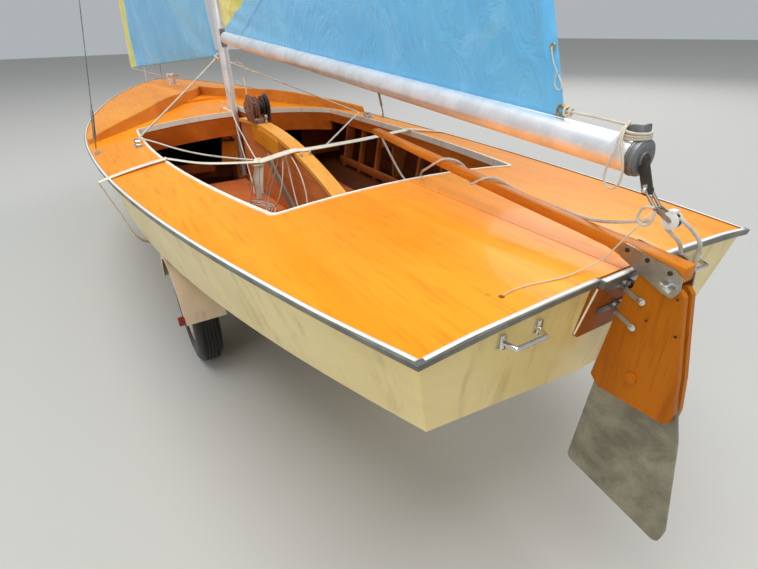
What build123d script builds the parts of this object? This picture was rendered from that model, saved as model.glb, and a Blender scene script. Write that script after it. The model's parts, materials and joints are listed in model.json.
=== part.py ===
from build123d import *
import math
import os

# Sailing dinghy of an 18 ft hard chine plywood class, hoisted and tied down on its road trailer.
# Boat frame used below: X forward from the top of the transom, Y to port, Z up from the transom's
# deck corners. The whole model is set down at the end so that its tyres and jack stand at height 0.
# All sizes are millimetres and degrees.

# Hull form
LENGTH = 5540.0
BEAM = 1792.0
TRANSOM_WIDTH = 1036.0
WIDEST_AT = 2620.0
FLARE = 15.0
TRANSOM_RAKE = 9.6
KEEL_DEPTH = 470.0
KEEL_LOWEST_AT = 2700.0
KEEL_RISE_AFT = 205.0
KEEL_RISE_FORE = 320.0
DEADRISE = 6.8
DECK_CROWN = 28.0
DECK_RADIUS = 4290.0

# Panels of the hull
SIDE_PLY = 9.0
BOTTOM_PLY = 12.0
DECK_PLY = 6.0
TRANSOM_PLY = 18.0
SEAM_WIDTH = 3.0
SEAM_DEPTH = 1.5
BATTEN_HEIGHT = 14.0
BATTEN_HALF = 186.0
BATTEN_END_AT = 3290.0
BATTEN_MIDDLE_AT = 3340.0
RAIL_WIDTH = 13.0
RAIL_HEIGHT = 14.0
RAIL_LIP = 3.0
PAD_PLY = 12.0
PAD_HALF = 84.0
PAD_TOP = 13.0
PAD_LOW = -118.0
HANDLE_AT = 270.0
HANDLE_HEIGHT = -36.0
HANDLE_HALF = 47.0
HANDLE_REACH = 34.0
HANDLE_BAR = 5.0
STEM_LENGTH = 170.0

# Cockpit
COCKPIT_AFT = 775.0
COCKPIT_FORE = 2620.0
COCKPIT_WIDTH_AFT = 930.0
COCKPIT_WIDTH_FORE = 1210.0
COCKPIT_BULGE = 62.0
COCKPIT_ROUND = 26.0
CARLIN_PLY = 18.0
CARLIN_DEPTH = 70.0
FORE_BEAM_DEPTH = 130.0
MOULDING_WIDTH = 8.0
MOULDING_HEIGHT = 4.0
MOULDING_LIP = 3.0
MOULDING_DEPTH = 24.0
FRAME_PLY = 20.0
FRAME_STATIONS = (1330.0, 1960.0)
FRAME_FOOT = 70.0
FORE_DOOR_HALF = 520.0
SOLE_HEIGHT = -388.0
SOLE_PLY = 12.0
SOLE_HALF = 430.0
SOLE_GAP = 6.0

# Centreboard trunk
TRUNK_AFT = 1300.0
TRUNK_FORE = 2560.0
TRUNK_TOP_AFT = -175.0
TRUNK_TOP_FORE = -22.0
TRUNK_TOP_BULGE = 72.0
TRUNK_SLOT = 24.0
TRUNK_PLY = 16.0
TRUNK_CAP_WIDTH = 72.0
TRUNK_CAP_PLY = 20.0
TRUNK_POST = 40.0
TRUNK_PAD_PLY = 14.0
TRUNK_PAD_AFT = 1905.0
TRUNK_PAD_FORE = 2300.0
TRUNK_PAD_LOW_AFT = -112.0
TRUNK_PAD_LOW_FORE = -82.0
BOARD_PLATE = 10.0
BOARD_CLEAR = 8.0
BOARD_LOW_EDGE = -430.0
BOARD_PIN = 16.0
BOARD_PIN_HEIGHT = -370.0

# Mast, boom and sails
MAST_AT = 2800.0
MAST_LONG = 78.0
MAST_WIDE = 56.0
MAST_LENGTH = 7200.0
MAST_STEP_HEIGHT = -400.0
MAST_NOTCH = 92.0
TABERNACLE_PLY = 20.0
MAST_PIN_HEIGHT = -205.0
MAST_PIN = 16.0
MAST_PIN_LENGTH = 190.0
HOUNDS_HEIGHT = 4650.0
GOOSENECK_HEIGHT = 432.0
GOOSENECK_BACK = 62.0
BOOM_DIAMETER = 66.0
BOOM_WALL = 3.0
BOOM_LENGTH = 2690.0
BOOM_END_HEIGHT = 250.0
BOOM_SWING = 50.0
SAIL_CLOTH = 2.0
MAIN_FOOT = 2515.0
MAIN_HEAD_HEIGHT = 6480.0
MAIN_HEAD_WIDTH = 110.0
MAIN_ROACH = 110.0
JIB_TACK = (5430.0, 281.0, 151.0)
JIB_CLEW = (2965.0, 5.0, 322.0)
JIB_HEAD = (2985.0, 310.0, 4150.0)
LUFF_WIRE = 5.0
JIB_LINE = 6.0
SHROUD_WIRE = 4.0

# Deck gear
SPRAY_APEX_AT = 3720.0
SPRAY_END_AT = 2608.0
SPRAY_PLY = 16.0
SPRAY_LINE = ((3720.0, 0.0), (3190.0, 283.0), (2911.0, 474.0), (2700.0, 676.0), (2602.0, 905.0))
SPRAY_TOP = ((2585.0, -58.0), (2640.0, 4.0), (2772.0, 52.0), (2911.0, 79.0), (3193.0, 93.0), (3730.0, 93.0))
BOW_CLEAT_BACK = 770.0
CHAINPLATE_AT = 2300.0
CHAINPLATE_HALF = 838.0
FAIRLEAD_AT = 2185.0
FAIRLEAD_HALF = 655.0
WINCH_AT = 2265.0
WINCH_RADIUS = 62.0
WINCH_WIDTH = 92.0
WINCH_PLATE = 4.0

# Rudder and tiller
RUDDER_AXIS_BACK = 27.0
RUDDER_PLY = 12.0
RUDDER_LEAD_GAP = 7.0
RUDDER_HEAD_GAP = 17.0
RUDDER_SHOULDER = 8.0
RUDDER_OUTLINE = (
    (40.0, 98.0),
    (30.0, 110.0),
    (-44.0, 137.0),
    (-140.0, 173.0),
    (-217.0, 197.0),
    (-240.0, 199.0),
    (-250.0, 188.0),
    (-258.0, 40.0),
    (-236.0, 14.0),
)
RUDDER_SWING = 36.0
BLADE_PLATE = 10.0
BLADE_CLEAR = 1.0
BLADE_BOLT = 10.0
BLADE_PIVOT_BACK = 96.0
BLADE_PIVOT_HEIGHT = -188.0
BLADE_LIFT = 80.0
TILLER_LENGTH = 1120.0
TILLER_WIDE = 36.0
TILLER_DEEP = 48.0
TILLER_TIP_DEEP = 30.0
TILLER_BACK = 95.0
TILLER_BACK_HEIGHT = 71.0
TILLER_TIP_HEIGHT = 132.0
CHEEK_PLATE = 4.0
PIN_CLEAR = 0.05
SEAT_GAP = 0.3

# Trailer
GROUND = -945.0
AXLE_AT = 1640.0
TRACK_HALF = 628.0
TYRE_RADIUS = 262.5
TYRE_WIDTH = 116.0
RIM_RADIUS = 158.0
HUB_RADIUS = 52.0
SPINDLE = 12.5
AXLE_TUBE = 50.0
FENDER_RADIUS = 282.0
FENDER_WIDTH = 168.0
FENDER_SKIN = 3.0
FENDER_LIP = 26.0
RAIL_HALF = 420.0
RAIL_TOP = -560.0
RAIL_TUBE = 60.0
RAIL_AFT_END = 1180.0
RAIL_BEND_AT = 3350.0
TONGUE_BEND_AT = 5150.0
COUPLER_AT = LENGTH + 720.0
CROSS_STATIONS = (1260.0, 2080.0, 2950.0)
BUNK_HALF = 330.0
BUNK_WIDE = 80.0
BUNK_DEEP = 60.0
BUNK_AFT = 1080.0
BUNK_FORE = 3250.0
WINCH_POST_AT = LENGTH + 160.0
POST_TUBE = 50.0
JACK_AT = WINCH_POST_AT + 200.0
JACK_SIDE = -82.0
JACK_OUTER = 30.0
JACK_WALL = 3.0
JACK_LIFT = 220.0
STRAP_AT = 1735.0
STRAP_WIDE = 30.0
STRAP_THICK = 2.0
CHINE_HEIGHT_AT_STRAP = -368.0
STRAP_ANCHOR_AT = 2010.0
SPRING_HALF = 300.0
FENDER_CUT = 70.0
BUNK_CLEAR = 0.4
BALL_RADIUS = 25.5
SOCKET_DEPTH = 26.0
STOP_HEIGHT = -60.0
WINCH_HEIGHT = -330.0
TAIL_LAMP = 70.0
JACK_CLEAR = 0.3

HALF_BEAM = BEAM / 2
FLARE_SLOPE = math.tan(math.radians(FLARE))
RAKE_SLOPE = math.tan(math.radians(TRANSOM_RAKE))
RISE_SLOPE = math.tan(math.radians(DEADRISE))
AFT_ARC = (WIDEST_AT ** 2 + (HALF_BEAM - TRANSOM_WIDTH / 2) ** 2) / (2 * (HALF_BEAM - TRANSOM_WIDTH / 2))
FORE_ARC = ((LENGTH - WIDEST_AT) ** 2 + HALF_BEAM ** 2) / (2 * HALF_BEAM)
HULL_SKIN = RAIL_WIDTH + SIDE_PLY
WHEEL_HEIGHT = GROUND + TYRE_RADIUS

parts = {}
fittings = []


def keep(name, shape):
    """Remember one sub-part under its own name."""
    parts[name] = shape


def box(x, y, z):
    """Box given by its low and high ends along each axis."""
    size = (x[1] - x[0], y[1] - y[0], z[1] - z[0])
    middle = Pos((x[0] + x[1]) / 2, (y[0] + y[1]) / 2, (z[0] + z[1]) / 2)
    return middle * Box(*size)


def rod(start, end, radius):
    """Round bar between two points."""
    a = Vector(*start)
    b = Vector(*end)
    return Plane(origin=a, z_dir=b - a) * extrude(Circle(radius), (b - a).length)


def pipe(start, end, radius, wall):
    """Round tube between two points."""
    a = Vector(*start)
    b = Vector(*end)
    ring = Circle(radius) - Circle(radius - wall)
    return Plane(origin=a, z_dir=b - a) * extrude(ring, (b - a).length)


def beam(start, end, width, height, wall=None):
    """Square bar or tube between two points, upright across its run."""
    a = Vector(*start)
    b = Vector(*end)
    run = b - a
    side = Vector(0, 0, 1).cross(run)
    section = Rectangle(width, height)
    if wall:
        section = section - Rectangle(width - 2 * wall, height - 2 * wall)
    return Plane(origin=a, x_dir=side, z_dir=run) * extrude(section, run.length)


def side_profile(points, y_low, y_high):
    """Solid from an outline in the X-Z plane, between two offsets from the centreline."""
    face = make_face(Polyline(*points, close=True))
    solid = extrude(Plane.XZ * face, -(y_high - y_low))
    return Pos(0, y_low, 0) * solid


def deck_height(y):
    """Height of the crowned deck at an offset from the centreline."""
    return DECK_CROWN - (DECK_RADIUS - math.sqrt(DECK_RADIUS ** 2 - y ** 2))


def half_beam_at(x, inset=0.0):
    """Half breadth of the sheer line at a station, inside the rail's outer edge."""
    arc = AFT_ARC if x < WIDEST_AT else FORE_ARC
    return HALF_BEAM - arc + math.sqrt((arc - inset) ** 2 - (x - WIDEST_AT) ** 2)


def sheer_half(x, inset=0.0):
    """Half breadth at the deck's own edge, which lies a little below the sheer line."""
    out = half_beam_at(x, inset)
    return half_beam_at(x, inset - deck_height(out) * FLARE_SLOPE)


def plan(inset, aft_end):
    """Port half of the sheer plan, its two arcs set in by a distance."""
    bow = WIDEST_AT + math.sqrt((FORE_ARC - inset) ** 2 - (FORE_ARC - HALF_BEAM) ** 2)
    corner = (aft_end, half_beam_at(aft_end, inset))
    mid_aft = (aft_end + WIDEST_AT) / 2
    mid_fore = (bow + WIDEST_AT) / 2
    widest = (WIDEST_AT, HALF_BEAM - inset)
    aft = ThreePointArc(corner, (mid_aft, half_beam_at(mid_aft, inset)), widest)
    fore = ThreePointArc(widest, (mid_fore, half_beam_at(mid_fore, inset)), (bow, 0))
    base = Polyline((bow, 0), (aft_end, 0), corner)
    return make_face(aft + fore + base)


def flared(inset):
    """Port half of a flared hull form, from above the deck to below the keel."""
    top = 60.0
    low = -KEEL_DEPTH - 40.0
    aft_end = -120.0
    upper = Pos(0, 0, top) * plan(inset - top * FLARE_SLOPE, aft_end)
    lower = Pos(0, 0, low) * plan(inset - low * FLARE_SLOPE, aft_end)
    return loft([upper, lower], ruled=True)


def under_deck(rise):
    """Everything below the crowned deck, raised or lowered by a distance."""
    reach = HALF_BEAM + 300.0
    edge = deck_height(reach) + rise
    arc = ThreePointArc((-reach, edge), (0, DECK_CROWN + rise), (reach, edge))
    base = Polyline((reach, edge), (reach, -900), (-reach, -900), (-reach, edge))
    return Pos(-400, 0, 0) * extrude(Plane.YZ * make_face(arc + base), LENGTH + 800)


def over_bottom(rise):
    """Everything above the port half of the V bottom, raised by a distance square to it."""
    aft_run = KEEL_LOWEST_AT
    fore_run = LENGTH - KEEL_LOWEST_AT
    aft_round = (aft_run ** 2 + KEEL_RISE_AFT ** 2) / (2 * KEEL_RISE_AFT)
    fore_round = (fore_run ** 2 + KEEL_RISE_FORE ** 2) / (2 * KEEL_RISE_FORE)
    low = -KEEL_DEPTH * math.cos(math.radians(DEADRISE))
    spare = 500.0

    def height(x):
        radius = aft_round if x < KEEL_LOWEST_AT else fore_round
        return low + radius - math.sqrt((radius - rise) ** 2 - (x - KEEL_LOWEST_AT) ** 2)

    start = -spare
    end = LENGTH + spare
    lowest = (KEEL_LOWEST_AT, low + rise)
    aft_middle = (start + KEEL_LOWEST_AT) / 2
    fore_middle = (end + KEEL_LOWEST_AT) / 2
    aft = ThreePointArc((start, height(start)), (aft_middle, height(aft_middle)), lowest)
    fore = ThreePointArc(lowest, (fore_middle, height(fore_middle)), (end, height(end)))
    cap = Polyline((end, height(end)), (end, 900), (start, 900), (start, height(start)))
    across = Vector(0, math.cos(math.radians(DEADRISE)), math.sin(math.radians(DEADRISE)))
    tilted = Plane(origin=-across * 150, x_dir=(-1, 0, 0), z_dir=across)
    outline = mirror(make_face(aft + fore + cap), about=Plane.YZ)
    return tilted * extrude(outline, HALF_BEAM + 400)


def ahead_of_transom(back):
    """Everything forward of the raked transom's outer face, moved forward by a distance."""
    top = 150.0
    low = -700.0
    outline = [
        (back - top * RAKE_SLOPE, top),
        (LENGTH + 400, top),
        (LENGTH + 400, low),
        (back - low * RAKE_SLOPE, low),
    ]
    return side_profile(outline, -HALF_BEAM - 300, HALF_BEAM + 300)


def cockpit_half(x):
    """Half width of the cockpit opening at a station, its sides bowed outward."""
    share = (x - COCKPIT_AFT) / (COCKPIT_FORE - COCKPIT_AFT)
    straight = COCKPIT_WIDTH_AFT / 2 + share * (COCKPIT_WIDTH_FORE - COCKPIT_WIDTH_AFT) / 2
    return straight + COCKPIT_BULGE * 4 * share * (1 - share)


def cockpit(grow, low, high):
    """Prism of the cockpit opening, its edge set out by a distance, with the mast's notch."""
    aft = COCKPIT_AFT - grow
    fore = COCKPIT_FORE + grow
    half_aft = COCKPIT_WIDTH_AFT / 2 + grow
    half_fore = COCKPIT_WIDTH_FORE / 2 + grow
    middle = ((aft + fore) / 2, (half_aft + half_fore) / 2 + COCKPIT_BULGE)
    port = ThreePointArc((aft, half_aft), middle, (fore, half_fore))
    starboard = ThreePointArc((fore, -half_fore), (middle[0], -middle[1]), (aft, -half_aft))
    ends = Line((fore, half_fore), (fore, -half_fore)) + Line((aft, -half_aft), (aft, half_aft))
    face = make_face(port + starboard + ends)
    face = fillet(face.vertices(), COCKPIT_ROUND + grow)
    notch_end = MAST_AT + MAST_LONG / 2 + 12 + grow
    notch = Rectangle(notch_end - COCKPIT_FORE + 200, MAST_NOTCH + 2 * grow)
    face = face + Pos((notch_end + COCKPIT_FORE - 200) / 2, 0) * notch
    return Pos(0, 0, low) * extrude(face, high - low)


def port_half(low=-600.0, high=300.0):
    return box((-300, LENGTH + 300), (0, HALF_BEAM + 200), (low, high))


def both(shape):
    """The shape and its mirror image across the centreline, as separate solids."""
    return Compound(children=[shape, mirror(shape, about=Plane.XZ)])


RAIL_FORM = flared(0)
HULL_FORM = flared(RAIL_WIDTH)
INNER_FORM = flared(HULL_SKIN)
BOTTOM_OUT = over_bottom(0)
BOTTOM_IN = over_bottom(BOTTOM_PLY)
DECK_TOP = under_deck(0)
DECK_LOW = under_deck(-DECK_PLY)
TRANSOM_OUT = ahead_of_transom(0)
TRANSOM_IN = ahead_of_transom(TRANSOM_PLY)
INSIDE = INNER_FORM & BOTTOM_IN & DECK_LOW & TRANSOM_IN & port_half()


def make_hull():
    side = (HULL_FORM - INNER_FORM) & BOTTOM_OUT & DECK_LOW & TRANSOM_IN
    bottom = (INNER_FORM & BOTTOM_OUT & TRANSOM_IN & port_half()) - BOTTOM_IN
    slot = box((TRUNK_AFT + TRUNK_POST, TRUNK_FORE - TRUNK_POST), (-TRUNK_SLOT / 2, TRUNK_SLOT / 2), (-700, 0))
    bottom = bottom - slot
    bottom = bottom + mirror(bottom, about=Plane.XZ)
    stem_start = LENGTH - STEM_LENGTH - 160
    stem = INSIDE & box((stem_start, LENGTH), (0, 200), (-600, 100))
    stem = stem + mirror(stem, about=Plane.XZ)
    keep("hull_side_port", side)
    keep("hull_side_starboard", mirror(side, about=Plane.XZ))
    keep("hull_bottom", bottom)
    keep("stem_block", stem)
    half = (HULL_FORM & BOTTOM_OUT & DECK_LOW & TRANSOM_OUT & port_half()) - TRANSOM_IN
    keep("transom", half + mirror(half, about=Plane.XZ))


def make_deck():
    plate = (HULL_FORM & DECK_TOP & TRANSOM_OUT & port_half()) - DECK_LOW
    plate = plate - cockpit(0, -300, 300)
    seam = box((-100, LENGTH), (-SEAM_WIDTH / 2, SEAM_WIDTH / 2), (DECK_CROWN - SEAM_DEPTH, 300))
    fore = plate & box((COCKPIT_FORE, LENGTH + 50), (0, 1000), (-300, 300))
    side = plate & box((COCKPIT_AFT, COCKPIT_FORE), (0, 1000), (-300, 300))
    aft = plate & box((-100, COCKPIT_AFT), (0, 1000), (-300, 300))
    batten = foredeck_batten()
    keep("foredeck", (fore + mirror(fore, about=Plane.XZ)) - seam + batten)
    keep("side_decks", both(side))
    keep("aft_deck", (aft + mirror(aft, about=Plane.XZ)) - seam)


def foredeck_batten():
    """Low strip glued over the foredeck inside the spray rail."""
    corners = [(BATTEN_END_AT, BATTEN_HALF), (BATTEN_MIDDLE_AT, 0), (BATTEN_END_AT, -BATTEN_HALF)]
    strips = None
    for first, second in zip(corners, corners[1:]):
        strip = beam((first[0], first[1], 0), (second[0], second[1], 0), 24, 160)
        strips = strip if strips is None else strips + strip
    return (strips & under_deck(BATTEN_HEIGHT)) - under_deck(-1)


def make_rail():
    band = under_deck(RAIL_LIP) - under_deck(RAIL_LIP - RAIL_HEIGHT)
    side = (RAIL_FORM - HULL_FORM) & band & ahead_of_transom(-RAIL_WIDTH)
    keep("rub_rail", side + mirror(side, about=Plane.XZ))
    across = (HULL_FORM & band & ahead_of_transom(-RAIL_WIDTH) & port_half()) - ahead_of_transom(0)
    step = PAD_PLY
    edge = PAD_HALF + 2
    gap = box((-200, 200), (-edge, edge), (-300, 300))
    bridge = (HULL_FORM & band & ahead_of_transom(-RAIL_WIDTH - step) & port_half()) - ahead_of_transom(-step)
    bridge = bridge & gap
    ear = box((-200, 200), (edge - 10, edge), (-300, 300))
    ear = (band & ahead_of_transom(-step) & ear) - ahead_of_transom(0)
    rail = (across - gap) + bridge + ear
    keep("transom_rail", rail + mirror(rail, about=Plane.XZ))


def make_cockpit():
    inner = cockpit(-MOULDING_LIP, -300, 300)
    flange = (cockpit(MOULDING_WIDTH, -300, 300) - inner) & (under_deck(MOULDING_HEIGHT) - DECK_TOP)
    lip = (cockpit(0, -300, 300) - inner) & (under_deck(MOULDING_HEIGHT) - under_deck(-MOULDING_DEPTH))
    keep("cockpit_moulding", flange + lip)
    wall = (cockpit(CARLIN_PLY, -300, 300) - cockpit(0, -300, 300)) & DECK_LOW
    shallow = wall - under_deck(-DECK_PLY - CARLIN_DEPTH)
    deep = wall - under_deck(-DECK_PLY - FORE_BEAM_DEPTH)
    fore = box((COCKPIT_FORE, COCKPIT_FORE + 400), (-900, 900), (-400, 200))
    aft = box((0, COCKPIT_AFT + COCKPIT_ROUND), (-900, 900), (-400, 200))
    middle = shallow - fore - aft
    keep("cockpit_carlins", (deep & fore) + (deep & aft) + middle)
    frames = []
    for station in FRAME_STATIONS:
        slab = INSIDE & box((station, station + FRAME_PLY), (0, 1000), (-600, 200))
        edge = cockpit_half(station)
        hollow_side = edge + CARLIN_PLY + FRAME_FOOT
        low = SOLE_HEIGHT - SOLE_PLY - SOLE_GAP
        hollow = box((station - 5, station + FRAME_PLY + 5), (-10, hollow_side), (low, 200))
        under = box((station - 5, station + FRAME_PLY + 5), (-10, 80), (-600, 200))
        rib = slab - hollow - under
        arm = INSIDE & box((station, station + FRAME_PLY), (edge + CARLIN_PLY, hollow_side), (-160, 200))
        frames.append(both((rib + arm) - cockpit(CARLIN_PLY + SEAT_GAP, -300, 300)))
    bulk = INSIDE & box((COCKPIT_AFT - 60, COCKPIT_AFT - 60 + FRAME_PLY), (0, 1000), (-600, 200))
    frames.append(bulk + mirror(bulk, about=Plane.XZ))
    fore_x = MAST_AT + 150
    bulk = INSIDE & box((fore_x, fore_x + FRAME_PLY), (0, 1000), (-600, 200))
    door = box((fore_x - 5, fore_x + FRAME_PLY + 5), (-1, FORE_DOOR_HALF), (-360, -110))
    bulk = bulk - door
    frames.append(bulk + mirror(bulk, about=Plane.XZ))
    keep("hull_frames", Compound(children=frames))
    inner = TRUNK_SLOT / 2 + TRUNK_PLY + SOLE_GAP
    sole = box((COCKPIT_AFT, COCKPIT_FORE), (inner, SOLE_HALF), (SOLE_HEIGHT - SOLE_PLY, SOLE_HEIGHT))
    sole = sole & INNER_FORM & BOTTOM_IN
    keep("cockpit_sole", both(sole))


def trunk_top(x):
    """Height of the trunk's upper edge, a shallow curve between its ends."""
    run = TRUNK_FORE - TRUNK_AFT
    rise = TRUNK_TOP_FORE - TRUNK_TOP_AFT
    chord = math.hypot(run, rise)
    radius = (chord ** 2 / 4 + TRUNK_TOP_BULGE ** 2) / (2 * TRUNK_TOP_BULGE)
    drop = radius - TRUNK_TOP_BULGE
    centre_x = (TRUNK_AFT + TRUNK_FORE) / 2 + drop * rise / chord
    centre_z = (TRUNK_TOP_AFT + TRUNK_TOP_FORE) / 2 - drop * run / chord
    return centre_z + math.sqrt(radius ** 2 - (x - centre_x) ** 2)


def trunk_outline(start, end, lift, low):
    """Side view of the trunk between two stations, under its curved top."""
    middle = (start + end) / 2
    top = ThreePointArc((start, trunk_top(start) + lift), (middle, trunk_top(middle) + lift), (end, trunk_top(end) + lift))
    rest = Polyline((end, trunk_top(end) + lift), (end, low), (start, low), (start, trunk_top(start) + lift))
    return make_face(top + rest)


def across(face, y_low, y_high):
    return Pos(0, y_low, 0) * extrude(Plane.XZ * face, -(y_high - y_low))


def make_trunk():
    inner = TRUNK_SLOT / 2
    wall = inner + TRUNK_PLY
    side = across(trunk_outline(TRUNK_AFT, TRUNK_FORE, 0, -600), inner, wall)
    for start in (TRUNK_AFT, TRUNK_FORE - TRUNK_POST):
        side = side + across(trunk_outline(start, start + TRUNK_POST, 0, -600), 0, inner)
    side = side & BOTTOM_IN
    trunk = side + mirror(side, about=Plane.XZ)
    pin_at = (TRUNK_FORE - 130, BOARD_PIN_HEIGHT)
    bore = rod((pin_at[0], -100, pin_at[1]), (pin_at[0], 100, pin_at[1]), BOARD_PIN / 2 + PIN_CLEAR)
    keep("centreboard_trunk", trunk - bore)
    half_cap = TRUNK_CAP_WIDTH / 2
    cap = across(trunk_outline(TRUNK_AFT - 20, TRUNK_FORE + 15, TRUNK_CAP_PLY, -600), -half_cap, half_cap)
    under = across(trunk_outline(TRUNK_AFT - 60, TRUNK_FORE + 60, SEAT_GAP, -700), -TRUNK_CAP_WIDTH, TRUNK_CAP_WIDTH)
    keep("trunk_cap", cap - under)
    pad = across(trunk_outline(TRUNK_PAD_AFT, TRUNK_PAD_FORE, -2, -300), wall, wall + TRUNK_PAD_PLY)
    under = [
        (TRUNK_PAD_AFT - 50, -400),
        (TRUNK_PAD_FORE + 50, -400),
        (TRUNK_PAD_FORE + 50, TRUNK_PAD_LOW_FORE + 4),
        (TRUNK_PAD_AFT - 50, TRUNK_PAD_LOW_AFT - 4),
    ]
    pad = pad - side_profile(under, 0, 100)
    aft_edges = pad.edges().filter_by(Axis.Y).sort_by(Axis.X)[:2]
    keep("trunk_pad", fillet(aft_edges, 20))
    aft = TRUNK_AFT + TRUNK_POST + BOARD_CLEAR
    fore = TRUNK_FORE - TRUNK_POST - BOARD_CLEAR
    board = across(trunk_outline(aft, fore, -BOARD_CLEAR, BOARD_LOW_EDGE), -BOARD_PLATE / 2, BOARD_PLATE / 2)
    pin = rod((pin_at[0], -wall - 8, pin_at[1]), (pin_at[0], wall + 8, pin_at[1]), BOARD_PIN / 2)
    keep("centreboard", board + pin)


def make_winch():
    base = trunk_top(WINCH_AT) + TRUNK_CAP_PLY
    centre = base + WINCH_RADIUS + 4
    half = WINCH_WIDTH / 2
    plates = []
    for side in (-1, 1):
        y = side * (half - WINCH_PLATE / 2)
        disc = Pos(WINCH_AT, y, centre) * (Rot(90, 0, 0) * Cylinder(WINCH_RADIUS, WINCH_PLATE))
        foot = box((WINCH_AT - 48, WINCH_AT + 48), (y - WINCH_PLATE / 2, y + WINCH_PLATE / 2), (base + 1, centre))
        plates.append(disc + foot)
    floor = box((WINCH_AT - 48, WINCH_AT + 48), (-half, half), (base - 20, base + 9))
    frame = plates[0] + plates[1] + floor
    shaft = 10.0
    bore = Pos(WINCH_AT, 0, centre) * (Rot(90, 0, 0) * Cylinder(shaft + 0.05, 200))
    under = across(trunk_outline(TRUNK_AFT, TRUNK_FORE, TRUNK_CAP_PLY + 0.2, -600), -100, 100)
    keep("winch_frame", frame - bore - under)
    drum = Pos(WINCH_AT, 0, centre) * (Rot(90, 0, 0) * Cylinder(shaft, WINCH_WIDTH + 38))
    drum = drum + Pos(WINCH_AT, -8, centre) * (Rot(90, 0, 0) * Cylinder(26, WINCH_WIDTH - 34))
    drum = drum + Pos(WINCH_AT, -half + 12, centre) * (Rot(90, 0, 0) * Cylinder(50, 5))
    teeth = 20
    gear = Pos(WINCH_AT, half - 22, centre) * (Rot(90, 0, 0) * Cylinder(50, 9))
    for index in range(teeth):
        turn = index * 360 / teeth
        notch = Pos(WINCH_AT, half - 22, centre) * (Rot(0, turn, 0) * (Pos(50, 0, 0) * (Rot(90, 0, 0) * Cylinder(4.5, 20))))
        gear = gear - notch
    drum = drum + gear
    crank_y = -half - 14
    arm = box((WINCH_AT - 95, WINCH_AT + 12), (crank_y - 5, crank_y + 5), (centre - 10, centre + 10))
    grip = Pos(WINCH_AT - 84, crank_y - 35, centre) * (Rot(90, 0, 0) * Cylinder(9, 60))
    keep("winch_drum", drum + arm + grip)


def make_mast():
    section = Ellipse(MAST_LONG / 2, MAST_WIDE / 2)
    top = MAST_STEP_HEIGHT + MAST_LENGTH
    spar = Pos(MAST_AT, 0, MAST_STEP_HEIGHT) * extrude(section, MAST_LENGTH)
    groove = box((MAST_AT - MAST_LONG / 2 - 1, MAST_AT - MAST_LONG / 2 + 9), (-2.5, 2.5), (GOOSENECK_HEIGHT + 60, top + 1))
    pin_hole = rod((MAST_AT, -200, MAST_PIN_HEIGHT), (MAST_AT, 200, MAST_PIN_HEIGHT), MAST_PIN / 2 + PIN_CLEAR)
    end = MAST_PIN_LENGTH / 2
    pin = rod((MAST_AT, -end, MAST_PIN_HEIGHT), (MAST_AT, end, MAST_PIN_HEIGHT), MAST_PIN / 2)
    keep("mast", (spar - groove) + pin)
    half = MAST_WIDE / 2 + 2
    low = MAST_STEP_HEIGHT - 30
    foot = box((MAST_AT - 75, MAST_AT + 75), (0, half + TABERNACLE_PLY), (-700, MAST_STEP_HEIGHT)) & BOTTOM_IN
    cheek = box((MAST_AT - 60, MAST_AT + 60), (half, half + TABERNACLE_PLY), (MAST_STEP_HEIGHT, MAST_PIN_HEIGHT + 60))
    step = foot + cheek
    step = step + mirror(step, about=Plane.XZ)
    keep("mast_step", step - pin_hole)
    cap = Pos(MAST_AT, 0, top) * extrude(Ellipse(MAST_LONG / 2 + 4, MAST_WIDE / 2 + 4), 8)
    crane = box((MAST_AT - 82, MAST_AT + 20), (-14, 14), (top + 8, top + 30))
    wheel = Pos(MAST_AT - 64, 0, top + 14) * (Rot(90, 0, 0) * Cylinder(20, 10))
    keep("mast_fittings", Compound(children=[cap + crane + wheel, make_hounds()]))


def make_hounds():
    ring = Ellipse(MAST_LONG / 2 + 4, MAST_WIDE / 2 + 4) - Ellipse(MAST_LONG / 2, MAST_WIDE / 2)
    band = Pos(MAST_AT, 0, HOUNDS_HEIGHT - 30) * extrude(ring, 60)
    band = band - box((MAST_AT - MAST_LONG, MAST_AT - MAST_LONG / 2 + 8), (-9, 9), (HOUNDS_HEIGHT - 60, HOUNDS_HEIGHT + 60))
    for side in (-1, 1):
        y = side * (MAST_WIDE / 2 + 8)
        ear = box((MAST_AT - 22, MAST_AT + 4), (min(y, y - side * 6), max(y, y - side * 6)), (HOUNDS_HEIGHT - 45, HOUNDS_HEIGHT))
        band = band + ear
    front = MAST_AT + MAST_LONG / 2
    band = band + box((front, front + 22), (-3, 3), (HOUNDS_HEIGHT - 40, HOUNDS_HEIGHT))
    return band


TURNBUCKLE_LENGTH = 205.0
TURNBUCKLE = 7.0
SHROUD_TOP = (MAST_AT - 14, MAST_WIDE / 2 + 16, HOUNDS_HEIGHT - 40)
CHAINPLATE_TOP = (CHAINPLATE_AT, CHAINPLATE_HALF, deck_height(CHAINPLATE_HALF) + 27.2)


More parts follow.
